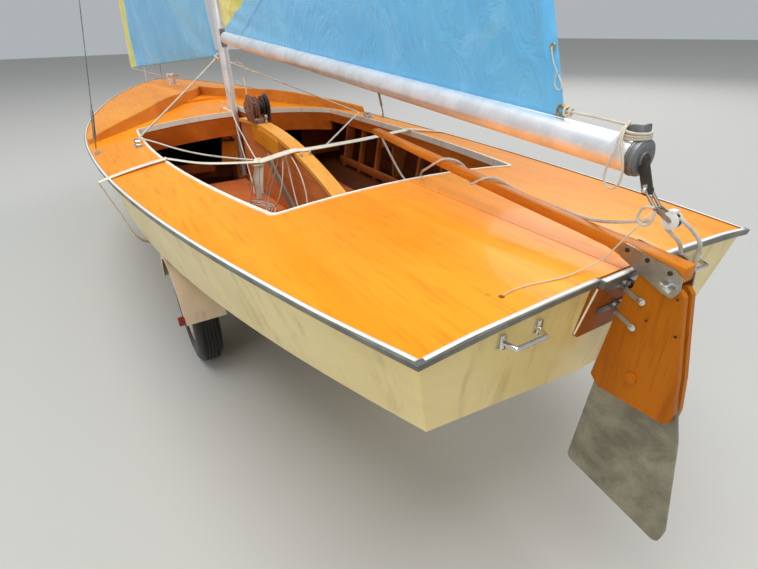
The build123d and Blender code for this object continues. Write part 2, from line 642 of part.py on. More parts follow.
def make_stays():
    base = Vector(*CHAINPLATE_TOP)
    head = Vector(*SHROUD_TOP)
    way = (head - base).normalized()
    screw_end = base + way * TURNBUCKLE_LENGTH
    wire = rod(tuple(screw_end - way * 10), tuple(head), SHROUD_WIRE / 2)
    body = rod(tuple(base + way * 45), tuple(screw_end - way * 30), TURNBUCKLE)
    shank = rod(tuple(base), tuple(screw_end), TURNBUCKLE / 2)
    port = wire + body + shank
    keep("shrouds", both(port))
    deck = deck_height(CHAINPLATE_HALF)
    foot = box((CHAINPLATE_AT - 32, CHAINPLATE_AT + 32), (CHAINPLATE_HALF - 14, CHAINPLATE_HALF + 14), (deck - 12, deck + 4))
    foot = foot - under_deck(0.3)
    eye = box((CHAINPLATE_AT - 14, CHAINPLATE_AT + 14), (CHAINPLATE_HALF - 2, CHAINPLATE_HALF + 2), (deck + 2, deck + 26))
    fittings.extend([foot + eye, mirror(foot + eye, about=Plane.XZ)])


def make_boom():
    start = (MAST_AT - GOOSENECK_BACK - 40, 0, GOOSENECK_HEIGHT)
    slope = (GOOSENECK_HEIGHT - BOOM_END_HEIGHT) / BOOM_LENGTH
    end = (start[0] - BOOM_LENGTH, 0, BOOM_END_HEIGHT)
    keep("boom", pipe(start, end, BOOM_DIAMETER / 2, BOOM_WALL))
    gone = BOOM_DIAMETER / 2 - BOOM_WALL
    along = (Vector(*end) - Vector(*start)).normalized()
    first = Vector(*start)
    last = Vector(*end)
    plug = rod(tuple(first - along * 6), tuple(first + along * 60), gone - 0.05)
    tongue_end = (MAST_AT - GOOSENECK_BACK, 0, GOOSENECK_HEIGHT)
    tongue = beam(tuple(first), tongue_end, 18, 22)
    knuckle = Pos(MAST_AT - GOOSENECK_BACK, 0, GOOSENECK_HEIGHT) * Cylinder(12, 22)
    pin_hole = Pos(MAST_AT - GOOSENECK_BACK, 0, GOOSENECK_HEIGHT) * Cylinder(5 + PIN_CLEAR, 100)
    tongue = (plug + tongue + knuckle) - pin_hole
    back = MAST_AT - MAST_LONG / 2
    forks = []
    for low in (GOOSENECK_HEIGHT - 20, GOOSENECK_HEIGHT + 12):
        forks.append(box((MAST_AT - GOOSENECK_BACK - 12, back + 8), (-13, 13), (low, low + 8)))
    plate = box((back - 1, back + 8), (-16, 16), (GOOSENECK_HEIGHT - 50, GOOSENECK_HEIGHT + 50))
    fork = forks[0] + forks[1] + plate
    pin = Pos(MAST_AT - GOOSENECK_BACK, 0, GOOSENECK_HEIGHT) * Cylinder(5, 52)
    mast_form = Pos(MAST_AT, 0, GOOSENECK_HEIGHT - 200) * extrude(Ellipse(MAST_LONG / 2, MAST_WIDE / 2), 400)
    keep("gooseneck_fork", (fork + pin) - mast_form)
    ring = rod(tuple(last + along * SEAT_GAP), tuple(last + along * 12), BOOM_DIAMETER / 2 + 2)
    stub = rod(tuple(last - along * 50), tuple(last), gone - 0.05)
    cheek = box((last.X - 46, last.X - 8), (-12, 12), (last.Z - 30, last.Z + 18))
    link_top = (last.X - 34, 0, last.Z - 24)
    hang = (last.X - 62, 0, last.Z - 78)
    link = beam(link_top, hang, 16, 30)
    block = Pos(hang[0] - 11, 0, hang[2] - 17) * (Rot(90, 0, 0) * Cylinder(26, 26))
    keep("boom_fittings", Compound(children=[tongue, ring + stub + cheek + link + block]))


def boom_top(x):
    """Height of the boom's upper side at a station."""
    start = MAST_AT - GOOSENECK_BACK - 40
    t = (start - x) / BOOM_LENGTH
    return GOOSENECK_HEIGHT + t * (BOOM_END_HEIGHT - GOOSENECK_HEIGHT) + BOOM_DIAMETER / 2


def make_sails():
    luff = MAST_AT - GOOSENECK_BACK - 30
    clew = luff - MAIN_FOOT
    tack_height = boom_top(luff) + SEAT_GAP
    clew_height = boom_top(clew) + SEAT_GAP
    mast_back = MAST_AT - MAST_LONG / 2
    near_luff = mast_back - 6
    head_back = near_luff - MAIN_HEAD_WIDTH
    middle = ((clew + head_back) / 2 - MAIN_ROACH, (clew_height + MAIN_HEAD_HEIGHT) / 2)
    leech = ThreePointArc((clew, clew_height), middle, (head_back, MAIN_HEAD_HEIGHT))
    rest = Polyline(
        (head_back, MAIN_HEAD_HEIGHT),
        (near_luff, MAIN_HEAD_HEIGHT),
        (near_luff, tack_height + 190),
        (luff, tack_height),
        (clew, clew_height),
    )
    sail = across(make_face(leech + rest), -SAIL_CLOTH / 2, SAIL_CLOTH / 2)
    keep("mainsail", sail)
    tack = Vector(*JIB_TACK)
    clew_point = Vector(*JIB_CLEW)
    head = Vector(*JIB_HEAD)
    normal = (clew_point - tack).cross(head - tack).normalized()
    face = make_face(Polyline(tack, clew_point, head, close=True))
    jib = extrude(face, SAIL_CLOTH, dir=normal)
    keep("jib", jib)
    hoist = Vector(MAST_AT + MAST_LONG / 2 + 3.7, 0, HOUNDS_HEIGHT - 50)
    lashing = rod(STEM_EYE, tuple(tack), JIB_LINE / 2) - rod(STEM_EYE, tuple(forestay_point(40)), 6)
    lashing = lashing - box((LENGTH - 99, LENGTH - 54), (-6, 6), (DECK_CROWN, DECK_CROWN + 43))
    halyard = rod(tuple(head), tuple(hoist), JIB_LINE / 2)
    keep("jib_lines", Compound(children=[lashing - grown(jib), halyard - grown(jib)]))
    foot = forestay_point(11.1)
    top = forestay_point(FORESTAY_RUN - 8)
    keep("forestay", rod(tuple(foot), tuple(top), LUFF_WIRE / 2))


STEM_EYE = (LENGTH - 75, 0, DECK_CROWN + 34)
STAY_HEAD = (MAST_AT + MAST_LONG / 2 + 19, 0, HOUNDS_HEIGHT - 36)
FORESTAY_RUN = (Vector(*STAY_HEAD) - Vector(*STEM_EYE)).length


def forestay_point(along):
    """A point on the forestay's line, a distance up from the stem's eye."""
    way = (Vector(*STAY_HEAD) - Vector(*STEM_EYE)).normalized()
    return Vector(*STEM_EYE) + way * along


def grown(sheet):
    """A sheet with a small gap all round, to cut what ends on it."""
    return offset(sheet, SEAT_GAP)


def spray_plan():
    """Plan of the port half of the spray rail, a bent board of even thickness."""
    run = Spline(*SPRAY_LINE)
    outer = []
    for share in (0.0, 0.25, 0.5, 0.75, 1.0):
        spot = run.position_at(share)
        way = run.tangent_at(share)
        outer.append((spot.X + way.Y * -SPRAY_PLY, spot.Y + way.X * SPRAY_PLY))
    face = make_face(run + Spline(*outer) + Line(SPRAY_LINE[0], outer[0]) + Line(SPRAY_LINE[-1], outer[-1]))
    return face


def make_bow():
    plate = box((LENGTH - 190, LENGTH - 60), (-11, 11), (DECK_CROWN - 10, DECK_CROWN + 4)) - under_deck(0.3)
    eye = box((LENGTH - 95, LENGTH - 58), (-2.5, 2.5), (DECK_CROWN + 3, DECK_CROWN + 42))
    fittings.append(plate + eye)
    at = LENGTH - BOW_CLEAT_BACK
    base = Pos(at, 0, DECK_CROWN + 0.3) * Cylinder(34, 8, align=(Align.CENTER, Align.CENTER, Align.MIN))
    post = Pos(at, 0, DECK_CROWN + 6) * Cylinder(17, 60, align=(Align.CENTER, Align.CENTER, Align.MIN))
    horns = box((at - 14, at + 14), (-46, 46), (DECK_CROWN + 62, DECK_CROWN + 84))
    fittings.append(base + post + horns)
    wall = Pos(0, 0, -150) * extrude(spray_plan(), 400)
    crest = Spline(*SPRAY_TOP)
    high_aft, high_fore = SPRAY_TOP[0], SPRAY_TOP[-1]
    rest = Polyline(high_fore, (high_fore[0], -150), (high_aft[0], -150), high_aft)
    limit = across(make_face(crest + rest), -1, HALF_BEAM + 50)
    edge = RAIL_WIDTH + 3 - deck_height(HALF_BEAM) * FLARE_SLOPE
    inboard = Pos(0, 0, -150) * extrude(plan(edge, -120), 400)
    board = ((wall & limit) - under_deck(0.3)) & inboard
    keep("spray_rail", board + mirror(board, about=Plane.XZ))


def make_deck_gear():
    deck = deck_height(FAIRLEAD_HALF)
    x = FAIRLEAD_AT
    y = FAIRLEAD_HALF
    base = box((x - 45, x + 40), (y - 18, y + 18), (deck - 12, deck + 5)) - under_deck(0.3)
    barrel = Pos(x - 20, y, deck + 20) * (Rot(90, 0, 0) * Cylinder(15, 20))
    post = box((x - 28, x - 12), (y - 8, y + 8), (deck + 3, deck + 20))
    bull = Pos(x + 22, y, deck + 20) * (Rot(0, 90, 0) * Cylinder(14, 12))
    bull = bull - Pos(x + 22, y, deck + 20) * (Rot(0, 90, 0) * Cylinder(7, 30))
    foot = box((x + 16, x + 28), (y - 8, y + 8), (deck + 3, deck + 10))
    lead = base + barrel + post + bull + foot
    fittings.extend([lead, mirror(lead, about=Plane.XZ)])
    keep("deck_fittings", Compound(children=fittings))


def raked(x, y, z):
    """A point set off square from the raked transom face, x forward of it."""
    return (x - z * RAKE_SLOPE, y, z)


def make_transom_gear():
    outer = ahead_of_transom(-PAD_PLY)
    pad = (box((-200, 200), (-PAD_HALF, PAD_HALF), (PAD_LOW, PAD_TOP)) & outer) - ahead_of_transom(-SEAT_GAP)
    keep("transom_pad", pad)
    grips = []
    for side in (1, -1):
        middle = side * HANDLE_AT
        ends = []
        bar = None
        for way in (-1, 1):
            foot = middle + way * HANDLE_HALF
            plate = box((-200, 200), (foot - 7, foot + 7), (HANDLE_HEIGHT - 16, HANDLE_HEIGHT + 16))
            plate = (plate & ahead_of_transom(-SEAT_GAP - 4)) - ahead_of_transom(-SEAT_GAP)
            knee = raked(-HANDLE_REACH, foot - way * 10, HANDLE_HEIGHT - 3)
            ends.append(knee)
            leg = plate + rod(raked(-3, foot, HANDLE_HEIGHT), knee, HANDLE_BAR) + Pos(*knee) * Sphere(HANDLE_BAR)
            bar = leg if bar is None else bar + leg
        bar = bar + rod(ends[0], ends[1], HANDLE_BAR)
        grips.append(bar - ahead_of_transom(-SEAT_GAP))
    keep("transom_handles", Compound(children=grips))


def axis_point(z, back=0.0):
    """A point on the rudder's hinge line at a height, moved aft by a distance."""
    return (-RUDDER_AXIS_BACK - back - z * RAKE_SLOPE, 0, z)


HINGE_HEIGHTS = (0.0, -58.0)
HINGE_PIN = 3.5
HINGE_BARREL = 6.5
HINGE_PLATE_HALF = 55.0
BARREL_HALF = 6.5
LUG = 4.0
STRAP_FALL = 16.0
STRAP_END = 50.0
STRAP_HIGH = 11.0


def hinge_plane(z):
    """Plane square to the rudder's hinge line at a height, its X forward."""
    return Plane(origin=axis_point(z), x_dir=(1, 0, RAKE_SLOPE), z_dir=(-RAKE_SLOPE, 0, 1))


def make_gudgeons():
    face = -PAD_PLY - 0.3
    body = None
    for z in HINGE_HEIGHTS:
        base = box((-200, 200), (-HINGE_PLATE_HALF, HINGE_PLATE_HALF), (z - 8, z + 8))
        base = (base & ahead_of_transom(face - 3)) - ahead_of_transom(face)
        for side in (-1, 1):
            middle = side * (BARREL_HALF + 0.5 + LUG / 2)
            lug = hinge_plane(z) * (Pos(0, 0, middle) * Cylinder(HINGE_BARREL, LUG))
            arm = hinge_plane(z) * (Pos(8, 0, middle) * Box(16, 11, LUG))
            base = base + ((lug + arm) - ahead_of_transom(face))
        reach = BARREL_HALF + LUG + 2
        base = base + hinge_plane(z) * Cylinder(HINGE_PIN, 2 * reach)
        body = base if body is None else body + base
    keep("gudgeons", body)


def make_rudder():
    half_slot = BLADE_PLATE / 2 + BLADE_CLEAR
    lead = RUDDER_LEAD_GAP
    top = RUDDER_OUTLINE[0][0]
    outline = [axis_point(top, RUDDER_HEAD_GAP)]
    outline = outline + [axis_point(height, back) for height, back in RUDDER_OUTLINE]
    outline = outline + [
        axis_point(RUDDER_SHOULDER - 20, lead),
        axis_point(RUDDER_SHOULDER, RUDDER_HEAD_GAP),
    ]
    flat = [(p[0], p[2]) for p in outline]
    side = side_profile(flat, half_slot, half_slot + RUDDER_PLY)
    core_low = BLADE_PIVOT_HEIGHT + 104
    core = side_profile(
        [
            (axis_point(top - 6, RUDDER_HEAD_GAP + 8)[0], top - 6),
            (axis_point(top - 6, RUDDER_OUTLINE[0][1] - 8)[0], top - 6),
            (axis_point(core_low, RUDDER_OUTLINE[2][1])[0], core_low),
            (axis_point(core_low, lead + 8)[0], core_low),
            (axis_point(RUDDER_SHOULDER - 20, lead + 8)[0], RUDDER_SHOULDER - 20),
        ],
        -half_slot,
        half_slot,
    )
    bolt = axis_point(BLADE_PIVOT_HEIGHT, BLADE_PIVOT_BACK)
    wall = half_slot + RUDDER_PLY
    board = side + mirror(side, about=Plane.XZ) + core
    board = board + rod((bolt[0], -wall - 6, bolt[2]), (bolt[0], wall + 6, bolt[2]), BLADE_BOLT / 2)
    for side_sign in (-1, 1):
        y = side_sign * (wall + 3)
        board = board + Pos(bolt[0], y, bolt[2]) * (Rot(90, 0, 0) * Cylinder(12, 6))
    keep("rudder_board", board)
    straps = []
    for z in HINGE_HEIGHTS:
        bridge = hinge_plane(z) * (Pos(-HINGE_PIN - 2, 0, 0) * Box(2.4, 2 * wall + 4.4, 2 * BARREL_HALF))
        barrel = hinge_plane(z) * Cylinder(HINGE_BARREL, 2 * BARREL_HALF)
        strap = barrel + bridge
        root = axis_point(z, HINGE_PIN + 1)
        tip = axis_point(z - STRAP_FALL, STRAP_END)
        for side_sign in (-1, 1):
            y = side_sign * (wall + 1.2)
            strap = strap + beam((root[0], y, root[2]), (tip[0], y, tip[2]), 2, STRAP_HIGH)
        strap = strap - hinge_plane(z) * Cylinder(HINGE_PIN + PIN_CLEAR, 100)
        straps.append(strap)
    keep("rudder_straps", Compound(children=straps))


def make_blade():
    pivot = axis_point(BLADE_PIVOT_HEIGHT, BLADE_PIVOT_BACK)
    x = pivot[0]
    outline = [
        (x - 42, -132),
        (x + 48, -132),
        (x + 78, -190),
        (x + 88, -290),
        (x + 110, -528),
        (x - 146, -569),
        (x - 152, -525),
        (x - 115, -288),
        (x - 88, -192),
    ]
    plate = side_profile(outline, -BLADE_PLATE / 2, BLADE_PLATE / 2)
    plate = fillet(plate.edges().filter_by(Axis.Y), 16)
    bore = rod((x, -50, pivot[2]), (x, 50, pivot[2]), BLADE_BOLT / 2 + PIN_CLEAR)
    keep("rudder_blade", plate - bore)


def make_tiller():
    half = TILLER_WIDE / 2
    back_x = axis_point(TILLER_BACK_HEIGHT, TILLER_BACK)[0]
    tip_x = back_x + TILLER_LENGTH
    outline = [
        (back_x, TILLER_BACK_HEIGHT - TILLER_DEEP / 2),
        (back_x, TILLER_BACK_HEIGHT + TILLER_DEEP / 2),
        (back_x + 260, TILLER_BACK_HEIGHT + TILLER_DEEP / 2 + 15),
        (tip_x, TILLER_TIP_HEIGHT + TILLER_TIP_DEEP / 2),
        (tip_x, TILLER_TIP_HEIGHT - TILLER_TIP_DEEP / 2),
        (back_x + 260, TILLER_BACK_HEIGHT - TILLER_DEEP / 2 + 15),
    ]
    stick = side_profile(outline, -half, half)
    keep("tiller", fillet(stick.edges().filter_by(Axis.Y), 7))
    cheek = side_profile(
        [
            (back_x + 139, 79),
            (back_x + 120, 92),
            (back_x + 17, 76),
            (back_x + 4, 66),
            (back_x + 1, 36),
            (back_x + 12, 20),
            (back_x + 32, 24),
            (back_x + 89, 47),
            (back_x + 126, 62),
        ],
        half + 0.2,
        half + 0.2 + CHEEK_PLATE,
    )
    cheek = fillet(cheek.edges().filter_by(Axis.Y), 5)
    keep("tiller_cheeks", both(cheek))


def wheel(side):
    """Tyre and rim of one wheel, its outer face to port or starboard."""
    y = side * TRACK_HALF
    half = TYRE_WIDTH / 2
    crown = TYRE_RADIUS
    profile = make_face(
        Polyline(
            (RIM_RADIUS + 0.3, -half + 14),
            (RIM_RADIUS + 12, -half + 4),
            (crown - 52, -half),
            (crown - 20, -half + 5),
            (crown, -half + 24),
            (crown, half - 24),
            (crown - 20, half - 5),
            (crown - 52, half),
            (RIM_RADIUS + 12, half - 4),
            (RIM_RADIUS + 0.3, half - 14),
            close=True,
        )
    )
    tyre = revolve(Plane.XY * profile, Axis.Y)
    rim_half = half - 12
    barrel = make_face(
        Polyline(
            (RIM_RADIUS, -rim_half),
            (RIM_RADIUS, rim_half),
            (RIM_RADIUS - 12, rim_half),
            (RIM_RADIUS - 22, rim_half - 16),
            (RIM_RADIUS - 22, 12),
            (HUB_RADIUS + 30, 22),
            (HUB_RADIUS, 24),
            (HUB_RADIUS - 14, 50),
            (SPINDLE + PIN_CLEAR, 50),
            (SPINDLE + PIN_CLEAR, -38),
            (HUB_RADIUS - 16, -38),
            (HUB_RADIUS, -4),
            (HUB_RADIUS + 30, 16),
            (RIM_RADIUS - 28, 5),
            (RIM_RADIUS - 22, -rim_half + 16),
            (RIM_RADIUS - 12, -rim_half),
            close=True,
        )
    )
    rim = revolve(Plane.XY * barrel, Axis.Y)
    for index in range(5):
        turn = Rot(0, index * 72, 0)
        rim = rim + turn * (Pos(HUB_RADIUS + 6, 27, 0) * (Rot(90, 0, 0) * Cylinder(8, 12)))
    flip = Rot(0, 0, 0 if side > 0 else 180)
    seat = Pos(AXLE_AT, y, WHEEL_HEIGHT)
    return seat * (flip * tyre), seat * (flip * rim)


def make_wheels():
    for side, name in ((1, "port"), (-1, "starboard")):
        tyre, rim = wheel(side)
        keep("tyre_" + name, tyre)
        keep("rim_" + name, rim)


def make_axle():
    inner = TRACK_HALF - TYRE_WIDTH / 2 - 16
    tube = beam((AXLE_AT, -inner, WHEEL_HEIGHT), (AXLE_AT, inner, WHEEL_HEIGHT), AXLE_TUBE, AXLE_TUBE)
    spindle = rod((AXLE_AT, -TRACK_HALF - 40, WHEEL_HEIGHT), (AXLE_AT, TRACK_HALF + 40, WHEEL_HEIGHT), SPINDLE)
    axle = tube + spindle
    keep("axle", axle)
    springs = []
    under_rail = RAIL_TOP - RAIL_TUBE - SEAT_GAP
    for side in (-1, 1):
        y = side * RAIL_HALF
        low = WHEEL_HEIGHT + AXLE_TUBE / 2 + SEAT_GAP
        pack = box((AXLE_AT - 55, AXLE_AT + 55), (y - 22, y + 22), (low, low + 26))
        main = box((AXLE_AT - SPRING_HALF, AXLE_AT + SPRING_HALF), (y - 20, y + 20), (low + 6, low + 13))
        spring = pack + main
        for end in (-1, 1):
            x = AXLE_AT + end * (SPRING_HALF - 12)
            spring = spring + box((x - 12, x + 12), (y - 22, y + 22), (low + 2, under_rail))
        springs.append(spring)
    keep("leaf_springs", Compound(children=springs))


def make_fenders():
    half = FENDER_WIDTH / 2
    shells = []
    for side in (-1, 1):
        middle = side * TRACK_HALF
        outer = Cylinder(FENDER_RADIUS + FENDER_SKIN, FENDER_WIDTH) - Cylinder(FENDER_RADIUS, FENDER_WIDTH + 2)
        lip = Pos(0, 0, -half + 1.5) * (Cylinder(FENDER_RADIUS + 1, 3) - Cylinder(FENDER_RADIUS - FENDER_LIP, 9))
        shell = outer + lip
        turned = Rot(90, 0, 0) * shell if side > 0 else Rot(-90, 0, 0) * shell
        shell = Pos(AXLE_AT, middle, WHEEL_HEIGHT) * turned
        shell = shell & box((0, 4000), (-1000, 1000), (WHEEL_HEIGHT + FENDER_CUT, 0))
        inner = middle - side * (half - 1)
        for x in (AXLE_AT - 250, AXLE_AT + 250):
            low = RAIL_TOP - RAIL_TUBE / 2
            height = WHEEL_HEIGHT + math.sqrt(FENDER_RADIUS ** 2 - 250 ** 2)
            ends = sorted((side * (RAIL_HALF + RAIL_TUBE / 2 + SEAT_GAP), inner + side * 4))
            shell = shell + box((x - 14, x + 14), ends, (low - 3, low + 3))
            ends = sorted((inner, inner + side * 4))
            shell = shell + box((x - 14, x + 14), ends, (min(low, height) - 3, height + 6))
        shells.append(shell)
    keep("fenders", Compound(children=shells))
    lamps = []
    for side in (-1, 1):
        y = side * (TRACK_HALF + half)
        x = AXLE_AT - FENDER_RADIUS + 30
        z = WHEEL_HEIGHT + FENDER_CUT + 14
        lamp = box((x - 16, x + 16), sorted((y + side * 0.3, y + side * 26)), (z - 13, z + 13))
        lamps.append(lamp)
        z = RAIL_TOP - RAIL_TUBE / 2
        middle = side * RAIL_HALF
        ends = (middle - TAIL_LAMP / 2, middle + TAIL_LAMP / 2)
        lamps.append(box((RAIL_AFT_END - 42, RAIL_AFT_END - SEAT_GAP), ends, (z - 30, z + 30)))
    keep("trailer_lamps", Compound(children=lamps))


def make_trailer():
    z = RAIL_TOP - RAIL_TUBE / 2
    tube = RAIL_TUBE
    frame = None
    for side in (-1, 1):
        y = side * RAIL_HALF
        straight = beam((RAIL_AFT_END, y, z), (RAIL_BEND_AT, y, z), tube, tube)
        slant = beam((RAIL_BEND_AT - 12, y + side * 2, z), (TONGUE_BEND_AT, side * 42, z), tube, tube)
        frame = straight if frame is None else frame + straight
        frame = frame + slant
    for station in CROSS_STATIONS:
        frame = frame + beam((station, -RAIL_HALF, z), (station, RAIL_HALF, z), tube, tube)
    tongue = beam((TONGUE_BEND_AT - 420, 0, z), (COUPLER_AT - 150, 0, z), tube, tube)
    frame = frame + tongue
    for station in CROSS_STATIONS:
        for side in (-1, 1):
            y = side * BUNK_HALF
            post = box((station - 20, station + 20), (y - 20, y + 20), (RAIL_TOP, 0))
            frame = frame + (post - bunk_form(BUNK_CLEAR + BUNK_DEEP + SEAT_GAP))
    keep("trailer_frame", frame)
    bunks = []
    for side in (1, -1):
        edges = (BUNK_HALF - BUNK_WIDE / 2, BUNK_HALF + BUNK_WIDE / 2)
        board = box((BUNK_AFT, BUNK_FORE), edges, (-700, 0)) - over_bottom(-BUNK_CLEAR)
        board = board & over_bottom(-BUNK_CLEAR - BUNK_DEEP)
        bunks.append(board if side > 0 else mirror(board, about=Plane.XZ))
    keep("bunks", Compound(children=bunks))


def bunk_form(drop):
    """Space above the underside of both bunks."""
    port = over_bottom(-drop) & box((-400, LENGTH + 300), (0, HALF_BEAM + 200), (-700, 300))
    return port + mirror(port, about=Plane.XZ)


def make_tongue():
    z = RAIL_TOP - RAIL_TUBE / 2
    start = COUPLER_AT - 150
    body = box((start - 90, start + 60), (-RAIL_TUBE / 2 - 5, RAIL_TUBE / 2 + 5), (z - 38, RAIL_TOP + 6))
    body = body - box((start - 100, start), (-RAIL_TUBE / 2 - 0.1, RAIL_TUBE / 2 + 0.1), (z - 60, RAIL_TOP + 0.1))
    nose = Pos(COUPLER_AT - 50, 0, z - 6) * Cylinder(42, 64)
    bridge = box((start + 40, COUPLER_AT - 50), (-34, 34), (z - 38, z + 26))
    socket = Pos(COUPLER_AT - 50, 0, z - 38) * Cylinder(BALL_RADIUS, 2 * SOCKET_DEPTH)
    lever = box((start - 40, COUPLER_AT - 70), (-7, 7), (RAIL_TOP + 6, RAIL_TOP + 16))
    lever = lever + box((start - 44, start - 14), (-11, 11), (RAIL_TOP + 6, RAIL_TOP + 30))
    keep("coupler", (body + nose + bridge + lever) - socket)
    lean = 180.0
    top = (WINCH_POST_AT - lean, 0, STOP_HEIGHT - 20)
    post = beam((WINCH_POST_AT, 0, RAIL_TOP - 1), top, POST_TUBE, POST_TUBE)
    foot = box((WINCH_POST_AT - 70, WINCH_POST_AT + 70), (-RAIL_TUBE / 2, RAIL_TUBE / 2), (RAIL_TOP + 0.2, RAIL_TOP + 8))
    post = post - box((0, 9000), (-100, 100), (-900, RAIL_TOP + 0.2))
    stop = box((LENGTH - 120, LENGTH + 20), (-45, 45), (STOP_HEIGHT - 70, STOP_HEIGHT + 10))
    stem_form = flared(RAIL_WIDTH - SEAT_GAP)
    stop = stop - stem_form - mirror(stem_form, about=Plane.XZ)
    keep("bow_post", post + foot + stop)
    t = (WINCH_HEIGHT - RAIL_TOP) / (STOP_HEIGHT - 20 - RAIL_TOP)
    x = WINCH_POST_AT - lean * t
    face = x - POST_TUBE / 2 - 12
    plates = None
    for side in (-1, 1):
        plate = box((face - 95, x + 30), sorted((side * 25.3, side * 29.3)), (WINCH_HEIGHT - 40, WINCH_HEIGHT + 40))
        plates = plate if plates is None else plates + plate
    centre = face - 50
    drum = rod((centre, -62, WINCH_HEIGHT), (centre, 46, WINCH_HEIGHT), 9)
    drum = drum + rod((centre, -25.5, WINCH_HEIGHT), (centre, 25.5, WINCH_HEIGHT), 24)
    crank = box((centre - 160, centre + 12), (-62, -52), (WINCH_HEIGHT - 10, WINCH_HEIGHT + 10))
    grip = rod((centre - 150, -150, WINCH_HEIGHT), (centre - 150, -55, WINCH_HEIGHT), 12)
    keep("bow_winch", plates + drum + crank + grip)


def make_jack():
    z = RAIL_TOP - RAIL_TUBE / 2
    low = GROUND + JACK_LIFT + 26
    high = RAIL_TOP + 330
    outer = pipe((JACK_AT, JACK_SIDE, low), (JACK_AT, JACK_SIDE, high), JACK_OUTER, JACK_WALL)
    cap = Pos(JACK_AT, JACK_SIDE, high + 6) * Cylinder(JACK_OUTER + 4, 12)
    edge = JACK_SIDE + JACK_OUTER - 2
    clamp = box((JACK_AT - 45, JACK_AT + 45), (edge, -RAIL_TUBE / 2 - 0.2), (z - 38, z + 38))
    hole = rod((JACK_AT, JACK_SIDE, low - 5), (JACK_AT, JACK_SIDE, high + 1), JACK_OUTER - JACK_WALL)
    crank = box((JACK_AT - 10, JACK_AT + 120), (JACK_SIDE - 5, JACK_SIDE + 5), (high + 12, high + 22))
    crank = crank + Pos(JACK_AT + 110, JACK_SIDE, high + 55) * Cylinder(10, 70)
    keep("jack_tube", outer + cap + crank + (clamp - hole))
    inner = JACK_OUTER - JACK_WALL - JACK_CLEAR
    leg = rod((JACK_AT, JACK_SIDE, GROUND + 8), (JACK_AT, JACK_SIDE, RAIL_TOP + 60), inner)
    pad = Pos(JACK_AT, JACK_SIDE, GROUND + 5) * Box(150, 120, 10)
    ring = Pos(JACK_AT, JACK_SIDE, GROUND + 14) * Cylinder(inner + 12, 10)
    keep("jack_leg", leg + pad + ring)


def make_strap():
    """Webbing that ties the hull down: over both sheers, across the cockpit, to the frame below."""
    out = sheer_half(STRAP_AT + STRAP_WIDE / 2) + 2.2
    inner = cockpit_half(STRAP_AT)
    moulding = deck_height(inner) + MOULDING_HEIGHT + 4
    half_cap = TRUNK_CAP_WIDTH / 2 + 3
    on_cap = trunk_top(STRAP_AT + STRAP_WIDE) + TRUNK_CAP_PLY + STRAP_THICK
    top = deck_height(out) + RAIL_LIP + 3
    low = top - RAIL_HEIGHT - 6
    chine_half = half_beam_at(STRAP_AT + STRAP_WIDE, RAIL_WIDTH) + CHINE_HEIGHT_AT_STRAP * FLARE_SLOPE + 2
    route = [
        (STRAP_AT, 0, on_cap),
        (STRAP_AT, half_cap, on_cap),
        (STRAP_AT, inner - MOULDING_LIP - 3, moulding - 1),
        (STRAP_AT, inner + MOULDING_WIDTH, moulding),
        (STRAP_AT, out, top),
        (STRAP_AT, out, low),
        (STRAP_AT, chine_half, CHINE_HEIGHT_AT_STRAP),
        (STRAP_ANCHOR_AT, RAIL_HALF + RAIL_TUBE / 2 + 4.2, RAIL_TOP - 20),
    ]
    pieces = None
    for first, second in zip(route, route[1:]):
        piece = webbing(first, second)
        pieces = piece if pieces is None else pieces + piece
    outer = RAIL_HALF + RAIL_TUBE / 2 + SEAT_GAP
    rail = box((RAIL_AFT_END, RAIL_BEND_AT), (RAIL_HALF, outer), (RAIL_TOP - RAIL_TUBE, RAIL_TOP + SEAT_GAP))
    pieces = pieces - rail
    keep("tie_strap", pieces + mirror(pieces, about=Plane.XZ))


def webbing(a, b):
    """Flat webbing between two points of one station, its width along X."""
    start = Vector(*a)
    run = Vector(*b) - start
    face = Rectangle(STRAP_WIDE, STRAP_THICK)
    return Plane(origin=start, x_dir=(1, 0, 0), z_dir=run) * extrude(face, run.length + 0.8)


def finish():
    os.makedirs("parts", exist_ok=True)
    low = min(shape.bounding_box().min.X for shape in parts.values())
    high = max(shape.bounding_box().max.X for shape in parts.values())
    shift = round(-(low + high) / 2, 2)
    print("moved forward by", shift)
    for name, shape in parts.items():
        export_step(Pos(shift, 0, -GROUND) * shape, "parts/" + name + ".step")


make_hull()
make_deck()
make_rail()
make_cockpit()
make_trunk()
make_winch()
make_mast()
make_stays()
make_boom()
make_sails()
make_bow()
make_deck_gear()
make_transom_gear()
make_gudgeons()
make_rudder()
make_blade()
make_tiller()
make_wheels()
make_axle()
make_fenders()
make_trailer()
make_tongue()
make_jack()
make_strap()
finish()
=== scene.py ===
# %% [markdown]
# # A varnished plywood dinghy on its trailer
#
# This lesson dresses a sailing dinghy whose solids already exist. The frame is loaded first, and every
# new piece is built in metres in the same space, so nothing has to be fitted afterwards.

import json
import math

import bmesh
import bpy
from mathutils import Matrix, Vector


